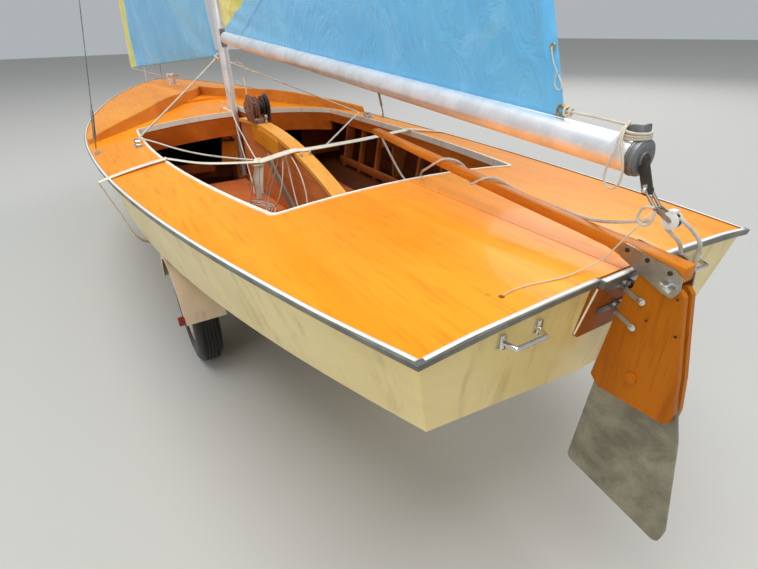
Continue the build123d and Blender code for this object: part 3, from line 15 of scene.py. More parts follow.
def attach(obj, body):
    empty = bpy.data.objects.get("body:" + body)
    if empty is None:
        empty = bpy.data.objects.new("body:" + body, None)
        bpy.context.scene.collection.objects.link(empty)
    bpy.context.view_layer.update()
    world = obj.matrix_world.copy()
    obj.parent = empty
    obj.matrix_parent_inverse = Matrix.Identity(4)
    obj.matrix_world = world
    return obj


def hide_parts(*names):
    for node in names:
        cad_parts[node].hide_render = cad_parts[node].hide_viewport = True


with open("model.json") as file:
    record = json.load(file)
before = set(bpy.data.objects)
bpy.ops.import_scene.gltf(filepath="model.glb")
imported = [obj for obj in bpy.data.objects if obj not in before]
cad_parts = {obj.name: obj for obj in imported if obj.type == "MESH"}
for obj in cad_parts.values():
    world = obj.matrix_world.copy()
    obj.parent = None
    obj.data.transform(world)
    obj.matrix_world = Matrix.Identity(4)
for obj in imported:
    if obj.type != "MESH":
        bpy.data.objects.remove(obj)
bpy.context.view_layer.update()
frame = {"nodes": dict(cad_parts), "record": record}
print("nodes in the frame:", len(frame["nodes"]))

# %% [markdown]
# The solids stand on the ground and are centred along their length. All the measuring was done from the
# boat itself: forward from the top of the transom, out to port, and up from the deck corners. One small
# function turns such a place into the scene's space, and another lets a long table be written in millimetres.

# %% From the boat's own measure to the scene
BOAT_SHIFT = Vector((-3.00448, 0.0, 0.945))
SIDES = ((1, "port"), (-1, "starboard"))


def boat(x, y, z):
    """A place measured from the top of the transom, as a point of the scene."""
    return Vector((x, y, z)) + BOAT_SHIFT


def mm(*rows):
    """Rows of numbers that are written in millimetres, as metres."""
    return [tuple(value / 1000 for value in row) for row in rows]


print("top of the transom stands at", tuple(round(v, 3) for v in boat(0, 0, 0)))

# %% [markdown]
# ## Colours and finishes
#
# A finish could be painted as a picture, but a picture blurs when the eye comes near. Here each finish is
# a short recipe of noise and numbers that reads the place of every point on the piece. A small class lets
# the recipe be written like ordinary sums: the signs put the Math nodes in place.

# %% Sums on a surface
finishes = {}


def paint(code, light=1.0):
    """A colour given by its six-letter code, as the light values that a shader works with."""
    parts = [int(code[i : i + 2], 16) / 255 for i in (0, 2, 4)]
    linear = [v / 12.92 if v <= 0.04045 else ((v + 0.055) / 1.055) ** 2.4 for v in parts]
    return tuple(min(1.0, v * light) for v in linear) + (1.0,)


class Wire:
    """A number that changes over a surface, with the signs that do sums on it."""

    def __init__(self, finish, socket):
        self.finish = finish
        self.socket = socket

    def __add__(self, other):
        return self.finish.math("ADD", self, other)

    def __sub__(self, other):
        return self.finish.math("SUBTRACT", self, other)

    def __rsub__(self, other):
        return self.finish.math("SUBTRACT", other, self)

    def __mul__(self, other):
        return self.finish.math("MULTIPLY", self, other)

    def __truediv__(self, other):
        return self.finish.math("DIVIDE", self, other)

    def __pow__(self, other):
        return self.finish.math("POWER", self, other)

    __radd__ = __add__


class Finish:
    """One material while its recipe is written: the nodes and the single shader that they feed."""

    def __init__(self, name, **fixed):
        self.name = name
        self.material = bpy.data.materials.new(name.replace("_", " "))
        self.material.use_nodes = True
        self.nodes = self.material.node_tree.nodes
        self.links = self.material.node_tree.links
        self.feed(fixed)
        self.place = self.node("TexCoord", out="Object")
        self.bumps = None

    def node(self, kind, settings=None, sockets=None, out=0):
        """Any node: its settings first, then the values or wires of its sockets."""
        made = self.nodes.new("ShaderNode" + kind)
        for key, value in (settings or {}).items():
            setattr(made, key, value)
        for key, value in (sockets or {}).items():
            self.put(made.inputs[key], value)
        return Wire(self, made.outputs[out])

    def put(self, socket, value):
        if isinstance(value, Wire):
            self.links.new(value.socket, socket)
        else:
            socket.default_value = value

    def feed(self, values):
        """Values or wires for the shader, each under the name of its socket."""
        for socket, value in values.items():
            self.put(self.nodes["Principled BSDF"].inputs[socket.replace("_", " ")], value)

    def math(self, operation, *values):
        return self.node("Math", {"operation": operation}, dict(enumerate(values)))

    def at(self, stretch, turn=(0, 0, 0)):
        """The place on the piece, stretched and turned, for a pattern to read."""
        return self.node("Mapping", None, {"Vector": self.place, "Scale": stretch, "Rotation": turn})

    def axis(self, number):
        """How far along X, Y or Z a point lies."""
        return self.node("SeparateXYZ", None, {0: self.place}, out=number)

    def boat_axis(self, number):
        """How far along an axis a point lies, in the boat's own measure."""
        return self.axis(number) - BOAT_SHIFT[number]

    def along(self, way):
        """How far a point lies along a slanting way, given by its share of each axis."""
        return self.axis(0) * way[0] + self.axis(1) * way[1] + self.axis(2) * way[2]

    def noise(self, scale, detail=3.0, rough=0.5, bend=0.0, place=None):
        sockets = {"Vector": place or self.place, "Scale": scale, "Detail": detail, "Roughness": rough}
        sockets["Distortion"] = bend
        return self.node("TexNoise", None, sockets)

    def waves(self, scale, bend, direction):
        settings = {"wave_type": "BANDS", "bands_direction": direction}
        sockets = {"Vector": self.place, "Scale": scale, "Distortion": bend, "Detail": 2.0}
        return self.node("TexWave", settings, sockets)

    def step(self, value, low, high, start=0.0, end=1.0):
        """A number carried from one range to another and held at its ends."""
        sockets = {"Value": value, "From Min": low, "From Max": high, "To Min": start, "To Max": end}
        return self.node("MapRange", {"interpolation_type": "SMOOTHSTEP"}, sockets)

    def blend(self, mask, under, over):
        """One colour where the mask is 0 and the other where it is 1."""
        return self.node("Mix", {"data_type": "RGBA"}, {0: mask, 6: under, 7: over}, out=2)

    def bump(self, height, depth, strength=1.0):
        """Relief on top of any relief that the finish already has; depth is in metres."""
        sockets = {"Height": height, "Distance": depth, "Strength": strength}
        if self.bumps:
            sockets["Normal"] = self.bumps
        self.bumps = self.node("Bump", None, sockets)

    def done(self, **driven):
        self.feed(driven)
        if self.bumps:
            self.feed({"Normal": self.bumps})
        finishes[self.name] = self.material


print("a mid orange in light values:", tuple(round(v, 3) for v in paint("fba84c")))

# %% [markdown]
# ## Varnished ply
#
# The decks are clear varnish over plywood. Under the gloss lies a straight grain that runs the length of
# the boat, with slow changes of tone from sheet to sheet, a darker stain by the seams, and the scuffs of
# many years of shoes. The gloss itself is a coat, so the wood below it can stay rough.

# %% Deck varnish
def drawn_out(along, share):
    """The stretch that draws a pattern out along one axis."""
    return tuple(share if letter == along else 1.0 for letter in "XYZ")


def varnish(name, light, mid, dark, grain=38.0, gloss=0.14, scuffs=0.35, along="X", wear=1.0, shine=0.12):
    """Varnished wood whose grain runs along one axis of the boat."""
    fin = Finish(name, Coat_Roughness=0.07, Coat_IOR=1.35, IOR=1.4, Specular_IOR_Level=0.1)
    long_place = fin.at(drawn_out(along, 0.06))
    figure = fin.noise(grain * 0.16, 4.0, 0.55, 0.8, long_place)
    lines = fin.noise(grain * 2.4, 5.0, 0.65, 0.2, long_place)
    cloud = fin.noise(1.7, 3.0, 0.5)
    tone = fin.step(figure * 0.55 + cloud * 0.45, 0.34, 0.66)
    wood = fin.blend(tone, paint(mid), paint(light))
    wood = fin.blend(fin.step(lines, 0.5, 0.72) * 0.35, wood, paint(dark))
    rubbed = fin.noise(9.0, 6.0, 0.7, 0.4)
    scratch = fin.noise(46.0, 3.0, 0.8, 1.5, fin.at((1.0, 0.22, 1.0), turn=(0, 0, 0.5)))
    worn = fin.step(rubbed, 0.55, 0.74) * scuffs
    marks = fin.step(scratch, 0.7, 0.78) * scuffs * 0.7
    wood = fin.blend(worn * 0.4, wood, paint(dark))
    wood = fin.blend(marks, wood, paint(light, 1.25))
    rough = 0.38 + worn * 0.4 + marks * 0.4
    coat = shine - fin.step(rubbed, 0.5, 0.85) * shine * 0.6 * wear
    fin.bump(lines * 0.6 + figure * 0.4, 0.0004, gloss)
    fin.bump(fin.noise(3.2, 2.0, 0.5), 0.004, 0.1)
    fin.done(Base_Color=wood, Roughness=rough, Coat_Weight=coat)


varnish("deck_varnish", "ffa226", "f48e12", "a8520e")
varnish("dark_varnish", "9a5a2c", "7a3f1c", "4a230f", 60.0, 0.3, 0.5)
varnish("rudder_varnish", "bb6a12", "98500c", "6a3006", 44.0, 0.3, 0.5, "Z")
varnish("tiller_varnish", "e08a2c", "bf691b", "7c3c10", 90.0, 0.3, 0.3, shine=0.05)
varnish("frame_timber", "b56a35", "8d4a24", "5a2b14", 50.0, 0.5, 0.8, wear=2.0)
varnish("cap_varnish", "f6b65a", "e89a3c", "b06a28", 50.0, 0.2, 0.6)
varnish("pad_varnish", "f0a437", "dc8520", "8c4c18", 50.0, 0.2, 0.5)
varnish("beam_varnish", "d9772a", "b95a18", "6e2f0e", 34.0, 0.2, 0.5)
varnish("spray_varnish", "eba048", "d2822f", "9c5820", 40.0, 0.3, 0.4)
varnish("trunk_varnish", "e88c4c", "c6703c", "7e4420", 50.0, 0.3, 0.5)
varnish("stern_varnish", "a45a1c", "843f10", "4a230a", 44.0, 0.3, 0.5, shine=0.05)
print("varnished woods:", len(finishes))

# %% [markdown]
# ## Painted panels
#
# The hull's sides and stern carry old cream gloss paint. Rain runs down from the sheer and leaves pale and
# brown streaks, and the plywood's grain telegraphs through. The inside is a thin red-brown paint that dirt
# has settled on.

# %% Hull and cockpit paint
def old_paint(name, light, dark, dirt, rough=0.32, streak=0.5, grime=0.35, inner=None):
    """Gloss paint that has weathered: fine streaks, soft stains and a faint grain of ply."""
    fin = Finish(name, Coat_Roughness=0.15, Specular_IOR_Level=0.4)
    flow = fin.noise(14.0, 5.0, 0.6, 0.3, fin.at((1.0, 1.0, 0.1)))
    blotch = fin.noise(2.2, 5.0, 0.6, 0.5)
    speck = fin.noise(120.0, 2.0, 0.6)
    body = fin.blend(fin.step(blotch, 0.35, 0.7), paint(light), paint(dark))
    body = fin.blend(fin.step(flow, 0.5, 0.72) * streak, body, paint(dirt))
    stain = fin.step(fin.noise(5.0, 6.0, 0.72, 1.0), 0.6, 0.78)
    body = fin.blend(stain * grime, body, paint(dirt))
    body = fin.blend(fin.step(speck, 0.68, 0.74) * 0.35, body, paint(dirt))
    ply = fin.noise(30.0, 4.0, 0.6, 0.2, fin.at((0.05, 0.3, 1.0)))
    if inner:
        rule, depth = inner
        # The inside face is brown timber, and its very dark tones are also painted shade for the dim hollow
        # inside the hull.
        timber = fin.blend(fin.step(ply * 0.6 + blotch * 0.4, 0.35, 0.65), paint("3c1c0c"), paint("6a3618"))
        body = fin.blend(rule(fin, depth), body, timber)
    fin.bump(ply, 0.0006, 0.25)
    dull = rough + stain * 0.25 + flow * 0.12
    fin.done(Base_Color=body, Roughness=dull, Coat_Weight=0.35 - stain * 0.3)


old_paint("hull_paint", "f4dc94", "e4c97c", "bb9c58")
print("finishes so far:", len(finishes))

# %% The same panel, cream outside and brown inside
RAIL_WIDE = 0.013
SIDE_PLY = 0.006
BOTTOM_PLY = 0.012
HALF_BEAM = 0.896
WIDEST_AT = 2.62
LENGTH = 5.54
TRANSOM_HALF = 0.518
FLARE = math.tan(math.radians(15.0))
DEADRISE = math.radians(6.8)
KEEL_AT = 2.7
KEEL_DEPTH = 0.47
KEEL_RISES = (0.205, 0.32)


def round_of(run, rise):
    """Radius of an arc that rises by so much over a run, from level."""
    return (run * run + rise * rise) / (2 * rise)


def parts_at(fin, along, split, aft, fore):
    """One number aft of a station and another one ahead of it."""
    ahead = fin.step(along, split - 0.0001, split + 0.0001)
    return aft + ahead * (fore - aft)


def measures(fin):
    """How far a point lies along the boat, out from its middle and above the deck's corners."""
    return fin.boat_axis(0), fin.math("ABSOLUTE", fin.axis(1)), fin.boat_axis(2)


def behind_side(fin, depth):
    """1 where a point lies deeper than a distance under the flared side's outer face."""
    along, out, up = measures(fin)
    inset = RAIL_WIDE + depth - up * FLARE
    off = along - WIDEST_AT
    halves = []
    for run, rise in ((WIDEST_AT, HALF_BEAM - TRANSOM_HALF), (LENGTH - WIDEST_AT, HALF_BEAM)):
        arc = round_of(run, rise)
        reach = arc - inset
        halves.append(fin.math("SQRT", reach * reach - off * off) + (HALF_BEAM - arc))
    return fin.step(parts_at(fin, along, WIDEST_AT, *halves) - out, -0.001, 0.001)


def above_bottom(fin, depth):
    """1 where a point lies further than a distance above the bottom's outer face."""
    along, out, up = measures(fin)
    square = up * math.cos(DEADRISE) - out * math.sin(DEADRISE)
    off = along - KEEL_AT
    low = -KEEL_DEPTH * math.cos(DEADRISE)
    heights = []
    for run, rise in zip((KEEL_AT, LENGTH - KEEL_AT), KEEL_RISES):
        arc = round_of(run, rise)
        heights.append((low + arc) - fin.math("SQRT", (arc - depth) ** 2 - off * off))
    return fin.step(square - parts_at(fin, along, KEEL_AT, *heights), -0.002, 0.002)


hull_mid = {"hull_" + part: (behind_side, SIDE_PLY / 2) for part in ("side_port", "side_starboard")}
hull_mid["hull_bottom"] = (above_bottom, BOTTOM_PLY / 2)
print("panels with two colours:", *hull_mid)

# %% Cockpit, moulding and trailer paint
old_paint("cockpit_paint", "dc783c", "b45c2a", "6a3418", 0.45, 0.3, 0.5)
old_paint("moulding_paint", "fff8e4", "f6ead0", "b89f7a", 0.35, 0.3, 0.4)
old_paint("fender_paint", "e6cfb2", "ccb494", "8c7256", 0.6, 0.5, 0.7)
old_paint("rim_paint", "d2bfa6", "ae9a80", "7c6248", 0.5, 0.4, 0.7)
old_paint("bunk_timber", "8b8172", "6c6254", "4c4236", 0.8, 0.5, 0.5)
print("finishes so far:", len(finishes))

# %% [markdown]
# ## Metals
#
# Four kinds of metal show here: drawn alloy on spars and rails, satin stainless fittings, bright plated
# cleats and handles, and galvanised or rusty steel. They share one recipe whose numbers set how dull,
# streaked and rusty each is.

# %% Alloy, steel and rust
def metal(name, light, dark, rough=0.35, along=None, rust=0.0, dull=0.5, grit=0.3, metallic=1.0):
    """Metal with a drawn or cast face, dull patches and, where wanted, rust."""
    fin = Finish(name)
    drawn = fin.noise(160.0, 3.0, 0.6, 0.0, fin.at(drawn_out(along, 0.03)))
    cloud = fin.noise(11.0, 6.0, 0.65, 0.4)
    face = fin.blend(fin.step(cloud, 0.35, 0.68), paint(light), paint(dark))
    face = fin.blend(fin.step(drawn, 0.45, 0.75) * 0.3, face, paint(dark))
    oxide = fin.step(fin.noise(26.0, 8.0, 0.72, 0.6) + rust * 0.35, 0.74, 0.92) * min(1.0, rust * 1.6)
    brown = fin.blend(fin.noise(70.0, 4.0), paint("5a2a12"), paint("8c4a20"))
    face = fin.blend(oxide, face, brown)
    shine = metallic - oxide * metallic
    fin.bump(drawn * 0.5 + cloud * 0.5 + oxide * 0.8, 0.0005, grit)
    fin.done(Base_Color=face, Metallic=shine, Roughness=rough + cloud * 0.2 * dull + oxide * 0.4)


metal("rail_alloy", "8a897f", "6a6a62", 0.42, "X", dull=0.6, metallic=0.5)
metal("spar_alloy", "ffffff", "e6e9ec", 0.34, "X", dull=0.5, grit=0.15, metallic=0.6)
metal("board_plate", "aaa48e", "868070", 0.55, dull=0.8, grit=0.5, metallic=0.8)
metal("fitting_steel", "b9b7b2", "8d8a84", 0.3, rust=0.12, dull=0.8)
metal("deck_chrome", "e6e6e6", "c4c4c4", 0.1, dull=0.3, grit=0.1)
metal("stay_wire", "a9a9a6", "6d6d6a", 0.4, "Z")
metal("rusty_steel", "5b4638", "3b2a20", 0.55, rust=0.9, grit=0.8)
metal("spring_steel", "3a3734", "262422", 0.6, rust=0.7, grit=0.8)
metal("trailer_steel", "9c9d98", "7b7c78", 0.5, rust=0.25, grit=0.5)
print("finishes so far:", len(finishes))

# %% [markdown]
# ## Cloth, rubber and plastic
#
# These are the plain first versions: a weave for webbing and rope, a matt black for the tyres and a red
# lens for the lamps. The sails get a finish of their own with the sails.

# %% Plain soft finishes
def woven(name, light, dark, count=900.0):
    fin = Finish(name, Sheen_Weight=0.3, Roughness=0.85)
    thread = fin.waves(count, 0.4, "X") * 0.5 + fin.waves(count, 0.4, "Z") * 0.5
    dirt = fin.noise(12.0, 5.0, 0.7)
    face = fin.blend(fin.step(dirt, 0.45, 0.75) * 0.6, paint(light), paint(dark))
    face = fin.blend(thread * 0.25, face, paint(dark))
    fin.bump(thread, 0.0004, 0.5)
    fin.done(Base_Color=face)


woven("strap_webbing", "f6ecd4", "cdbb92")
woven("rope_white", "e2d9c6", "a3937a")
woven("sheet_flecked", "ded8c8", "6c6458", 500.0)
woven("sail_blue", "6ab1d6", "5a9fc6")
old_paint("tyre_rubber", "151412", "0e0d0c", "4c4032", 0.8, 0.15, 0.45)
old_paint("lamp_plastic", "a3241a", "7c160f", "5a3a2c", 0.25, 0.1, 0.3)
print("finishes in all:", len(finishes))

# %% [markdown]
# Each solid of the frame names its slot in the record, so one loop can give every one its finish.

# %% Dress the solids
own_finish = {
    "trunk_cap": "cap_varnish",
    "trunk_pad": "pad_varnish",
    "cockpit_carlins": "beam_varnish",
    "spray_rail": "spray_varnish",
    "centreboard_trunk": "trunk_varnish",
    "transom_pad": "stern_varnish",
}
for panel, rule in hull_mid.items():
    own_finish[panel] = "cream_over_" + panel
    old_paint(own_finish[panel], "f0da96", "dfc67e", "b89b5a", inner=rule)
slot_of = {item["node"]: item["material_slot"] for item in frame["record"]["subparts"]}
for node_name, solid in frame["nodes"].items():
    solid.data.materials.clear()
    solid.data.materials.append(finishes[own_finish.get(node_name) or slot_of[node_name]])
print("solids dressed:", len(slot_of))

# %% [markdown]
# ## Making new pieces
#
# The solids carry the main shapes. What they leave out, such as straps, bolts, ropes and cloth, is made
# here from a few simple shapes that are stretched, turned and softened. A small class collects them in one
# mesh, so that every new piece ends as one object that sits at the origin and rides on a body.

# %% A piece in the making
SHARP_FOLD = 0.5
RING_CORNERS = 10


def upright(start, end):
    """A turn that carries Z onto the run between two points."""
    return (end - start).to_track_quat("Z", "Y").to_matrix().to_4x4()


def as_object(name, grown):
    """An object whose mesh is what has grown."""
    data = bpy.data.meshes.new(name)
    grown.to_mesh(data)
    grown.free()
    return bpy.data.objects.new(name, data)


def settle(made, body, slot_name, finish=None, replaces=()):
    """Put a finished object in the scene: its material, its body and what it stands for."""
    bpy.context.scene.collection.objects.link(made)
    made.data.materials.append(finishes[finish or slot_name])
    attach(made, body)
    if replaces:
        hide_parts(*replaces)
    return made


class Piece:
    """A mesh that grows by simple shapes, each placed in the boat's own measure."""

    def __init__(self, name):
        self.name = name
        self.mesh = bmesh.new()

    def soften(self, verts, size):
        """Round the outer edges of what was just added."""
        if size:
            edges = list({edge for vert in verts for edge in vert.link_edges})
            sharp = [e for e in edges if len(e.link_faces) == 2 and e.calc_face_angle() > SHARP_FOLD]
            form = {"offset": size, "segments": 2, "profile": 0.5, "affect": "EDGES", "material": -1}
            bmesh.ops.bevel(self.mesh, geom=sharp, **form)

    def box(self, start, end, turn, sides, size):
        """A cube between two points, stretched and turned."""
        place = Matrix.Translation((start + end) / 2) @ turn @ Matrix.Diagonal((*sides, 1.0))
        self.soften(bmesh.ops.create_cube(self.mesh, size=1.0, matrix=place)["verts"], size)

    def block(self, low, high, size=0.0):
        a, b = boat(*low), boat(*high)
        self.box(a, b, Matrix.Identity(4), b - a, size)

    def bar(self, start, end, wide, deep, size=0.0):
        """A square bar between two places; deep is measured as near upright as its run allows."""
        a, b = boat(*start), boat(*end)
        self.box(a, b, upright(a, b), (wide, deep, (b - a).length), size)

    def rod(self, start, end, radius, far=None, sides=20, size=0.0):
        """A round bar, or a cone where the far end has its own radius."""
        a, b = boat(*start), boat(*end)
        place = Matrix.Translation((a + b) / 2) @ upright(a, b)
        form = {"segments": sides, "radius1": radius, "radius2": far or radius, "depth": (b - a).length}
        made = bmesh.ops.create_cone(self.mesh, cap_ends=True, matrix=place, **form)
        self.soften(made["verts"], size)

    def ball(self, place, radius):
        form = {"u_segments": 12, "v_segments": 6, "radius": radius}
        bmesh.ops.create_uvsphere(self.mesh, matrix=Matrix.Translation(boat(*place)), **form)

    def plate(self, outline, middle, thick, size=0.0, along_boat=False):
        """A plate from an outline seen across or along the boat, its thickness centred on a place."""
        low = middle - thick / 2
        corners = []
        for first, second in outline:
            place = (low, first, second) if along_boat else (first, low, second)
            corners.append(self.mesh.verts.new(boat(*place)))
        face = self.mesh.faces.new(corners)
        grown = bmesh.ops.extrude_face_region(self.mesh, geom=[face])["geom"]
        moved = [v for v in grown if isinstance(v, bmesh.types.BMVert)]
        push = (thick, 0, 0) if along_boat else (0, thick, 0)
        bmesh.ops.translate(self.mesh, verts=moved, vec=push)
        self.soften(corners + moved, size)

    def hoop(self, centre, axis, section, sides=48):
        """A closed section, given as pairs of radius and way along the axis, turned right round it."""
        middle, way = boat(*centre), Vector(axis).normalized()
        out = way.orthogonal().normalized()
        loop = [self.mesh.verts.new(middle + out * radius + way * along) for radius, along in section]
        edges = [self.mesh.edges.new((loop[index - 1], loop[index])) for index in range(len(loop))]
        whole = {"angle": math.tau, "steps": sides, "use_merge": True}
        bmesh.ops.spin(self.mesh, geom=loop + edges, cent=middle, axis=way, **whole)

    def ring(self, centre, axis, radius, thick, sides=28):
        """A round ring whose own section is nearly a circle."""
        angles = [math.tau * index / RING_CORNERS for index in range(RING_CORNERS)]
        section = [(radius - thick * math.sin(a), thick * math.cos(a)) for a in angles]
        self.hoop(centre, axis, section, sides)

    def loft(self, sections, size=0.0):
        """A bar through upright rectangles, each given as its place along, low, high and half width."""
        along, low, high, half = sections[0]
        corners = []
        for y, z in ((-half, low), (half, low), (half, high), (-half, high)):
            corners.append(self.mesh.verts.new(boat(along, y, z)))
        face = self.mesh.faces.new(corners)
        for along, low, high, half in sections[1:]:
            drawn = bmesh.ops.extrude_face_region(self.mesh, geom=[face])["geom"]
            face = next(item for item in drawn if isinstance(item, bmesh.types.BMFace))
            middle = face.calc_center_median()
            for vert in face.verts:
                left, upper = vert.co.y < middle.y, vert.co.z > middle.z
                vert.co = boat(along, -half if left else half, high if upper else low)
            corners += list(face.verts)
        self.soften(corners, size)

    def bolt(self, place, axis, radius, high):
        """A domed bolt head that stands on a surface."""
        foot, way = Vector(place), Vector(axis).normalized()
        shoulder = foot + way * high * 0.6
        self.rod(foot, shoulder, radius, sides=16)
        self.rod(shoulder, foot + way * high, radius, radius * 0.55, sides=16)

    def done(self, body, slot_name, finish=None, replaces=(), smooth=0.6):
        """Close the mesh, give it its finish and let it ride on its body."""
        bmesh.ops.recalc_face_normals(self.mesh, faces=self.mesh.faces)
        for face in self.mesh.faces:
            face.smooth = True
        for edge in self.mesh.edges:
            edge.smooth = len(edge.link_faces) == 2 and edge.calc_face_angle() < smooth
        settle(as_object(self.name, self.mesh), body, slot_name, finish, replaces)


print("ready to make pieces")

# %% Ropes along a smooth line
def rope(name, places, thick, body="hull", finish=None, slot_name="rope_white"):
    """A rope on a smooth curve that a few chosen places pull into shape."""
    line = bpy.data.curves.new(name, "CURVE")
    line.dimensions = "3D"
    line.bevel_depth = thick / 2
    line.bevel_resolution = 2
    line.use_fill_caps = True
    run = line.splines.new("NURBS")
    run.points.add(len(places) - 1)
    for point, place in zip(run.points, places):
        point.co = (*boat(*place), 1.0)
    run.order_u = 3
    run.use_endpoint_u = True
    run.resolution_u = 8
    return settle(bpy.data.objects.new(name, line), body, slot_name, finish)


def rope_length(made):
    """The length of a rope's own line, read from its curve with the thickness taken away."""
    bare = made.data.copy()
    bare.bevel_depth = 0.0
    stand = bpy.data.objects.new("bare line", bare)
    mesh = bpy.data.meshes.new_from_object(stand)
    spots = [vert.co for vert in mesh.vertices]
    total = sum((spots[edge.vertices[0]] - spots[edge.vertices[1]]).length for edge in mesh.edges)
    bpy.data.objects.remove(stand)
    bpy.data.meshes.remove(mesh)
    bpy.data.curves.remove(bare)
    return total


def cord(name, places, thick, body="hull", finish=None):
    """A rope that is free to move; its length is worked out and printed."""
    made = rope(name, places, thick, body, finish)
    long = rope_length(made)
    print(name, "metres:", round(long, 2))


print("ready to lay ropes")

# %% [markdown]
# ## The sails
#
# Both sails are blue cloth with yellow along the front edge. A sail is cut from long panels that are sewn
# edge to edge, so pale double seams cross it. Here it starts as a flat grid that is carried onto four edges:
# luff, leech, foot and head. Then it is pushed a little to one side for its fullness, and its corners pull
# fine creases into the cloth.

# %% Sailcloth
def sailcloth(name, seam, pitch, slant, yellow_from, low=None):
    """Blue cloth with sewn seams along one direction and a yellow band beyond a straight edge or two."""
    fin = Finish(name, Sheen_Weight=0.25, Roughness=0.62)
    share = fin.math("FRACT", (fin.along(seam) + seam[3]) / pitch)
    near = fin.math("ABSOLUTE", share - 0.5)
    lap = fin.step(near, 0.011, 0.013, 1.0, 0.0)
    stitch = fin.step(near, 0.0095, 0.0105, 0.0, 1.0) * lap
    cloud = fin.noise(1.3, 4.0, 0.55, 0.6)
    wash = fin.noise(6.0, 6.0, 0.65, 1.2)
    crease = fin.noise(9.0, 5.0, 0.6, 2.2, fin.at((1.0, 1.0, 0.55), turn=(0.0, 0.5, 0.0)))
    blue = fin.blend(fin.step(cloud, 0.35, 0.68), paint("60bcf2"), paint("84d2fa"))
    blue = fin.blend(fin.step(wash, 0.55, 0.75) * 0.3, blue, paint("a8e4fc"))
    blue = fin.blend(lap * 0.45, blue, paint("4c9cd4"))
    blue = fin.blend(stitch * 0.6, blue, paint("a8d4e6"))
    wander = fin.noise(7.0, 3.0, 0.6, 0.5) * 0.05
    yellow = fin.blend(fin.step(wash, 0.4, 0.7), paint("e6d84a"), paint("f3ee86"))
    beyond = fin.step(fin.along(slant) + slant[3] + wander, yellow_from, yellow_from + 0.004)
    if low:
        lean, height = low
        beyond = beyond * fin.step(fin.axis(0) * lean + fin.axis(2) + wander, height, height + 0.004)
    fin.bump(crease, 0.02, 0.45)
    fin.bump(fin.noise(38.0, 3.0, 0.6, 1.0), 0.003, 0.3)
    fin.bump(lap, 0.0008, 0.8)
    fin.done(Base_Color=fin.blend(beyond, blue, yellow))


def cloth_object(name, grown, thick):
    """An object of thin cloth: its thickness goes half to each side of what has grown."""
    for face in grown.faces:
        face.smooth = True
    made = as_object(name, grown)
    wall = made.modifiers.new("cloth", "SOLIDIFY")
    wall.thickness = thick
    wall.offset = 0.0
    return made


def sail_grid(name, columns, rows, place):
    """A cloth grid carried to its place by a rule for the shares from luff to leech and foot to head."""
    grown = bmesh.new()
    bmesh.ops.create_grid(grown, x_segments=columns, y_segments=rows, size=0.5)
    for vert in grown.verts:
        vert.co = boat(*place(vert.co.x + 0.5, vert.co.y + 0.5))
    bmesh.ops.remove_doubles(grown, verts=grown.verts, dist=0.0005)
    return cloth_object(name, grown, 0.0009)


def patch(luff, leech, foot, head, s, t):
    """A point inside four edges, each given by its own rule."""
    fore = (1 - t) * luff(0) + t * luff(1)
    aft = (1 - t) * leech(0) + t * leech(1)
    corners = (1 - s) * fore + s * aft
    return (1 - s) * luff(t) + s * leech(t) + (1 - t) * foot(s) + t * head(s) - corners


print("ready to cut cloth")

# %% The mainsail
TACK = Vector((2.708, 0.0, 0.4664))
CLEW = Vector((0.193, 0.0, 0.2962))
HEAD_FORE = Vector((2.755, 0.0, 6.48))
HEAD_AFT = Vector((2.645, 0.0, 6.48))
ROACH = 0.11


def main_leech(t):
    run = HEAD_AFT - CLEW
    out = Vector((-run.z, 0.0, run.x)).normalized()
    return CLEW + run * t + out * ROACH * 4 * t * (1 - t)


def main_luff(t):
    z = TACK.z + (HEAD_FORE.z - TACK.z) * t
    lead = min(1.0, (z - TACK.z) / 0.19)
    return Vector((TACK.x + (HEAD_FORE.x - TACK.x) * lead, 0.0, z))


def main_foot(s):
    return TACK.lerp(CLEW, s)


def main_head(s):
    return HEAD_FORE.lerp(HEAD_AFT, s)


def main_place(s, t):
    t = t**1.35
    spot = patch(main_luff, main_leech, main_foot, main_head, s, t)
    free = min(1.0, 6.0 * t) * min(1.0, 14.0 * s)
    belly = -0.05 * math.sin(math.pi * min(1.0, s * 1.05)) * math.sin(math.pi * min(1.0, t + 0.12)) * free
    low = math.exp(-t * 16.0) * math.sin(math.pi * s)
    rolls = 0.007 * low * math.sin(t * 130.0 + 2.0 * math.sin(s * 7.0)) * min(1.0, 40 * t)
    from_clew, from_tack = spot - CLEW, spot - TACK
    fan = math.sin(11.0 * math.atan2(from_clew.z, from_clew.x + 0.02))
    pull = 0.006 * math.exp(-from_clew.length * 2.2) * fan
    gather = 0.01 * math.exp(-from_tack.length * 3.0) * math.sin(spot.z * 75.0 + s * 30.0)
    spot.y += belly + (rolls + pull) * free + gather * min(1.0, 14.0 * s)
    return spot


main_seams = (0.36, 0.0, 0.93, 0.31)
sailcloth("blue_mainsail_cloth", main_seams, 0.92, (1.0, 0.0, 0.05, 0.0), -0.612, (0.3, 1.356))
mainsail = sail_grid("mainsail_cloth", 56, 120, main_place)
settle(mainsail, "boom", "sail_blue", "blue_mainsail_cloth", ["mainsail"])
print("mainsail faces:", len(mainsail.data.polygons))

# %% The jib
JIB_TACK = Vector((5.43, 0.281, 0.151))
JIB_CLEW = Vector((2.965, 0.005, 0.322))
JIB_HEAD = Vector((2.985, 0.31, 4.15))


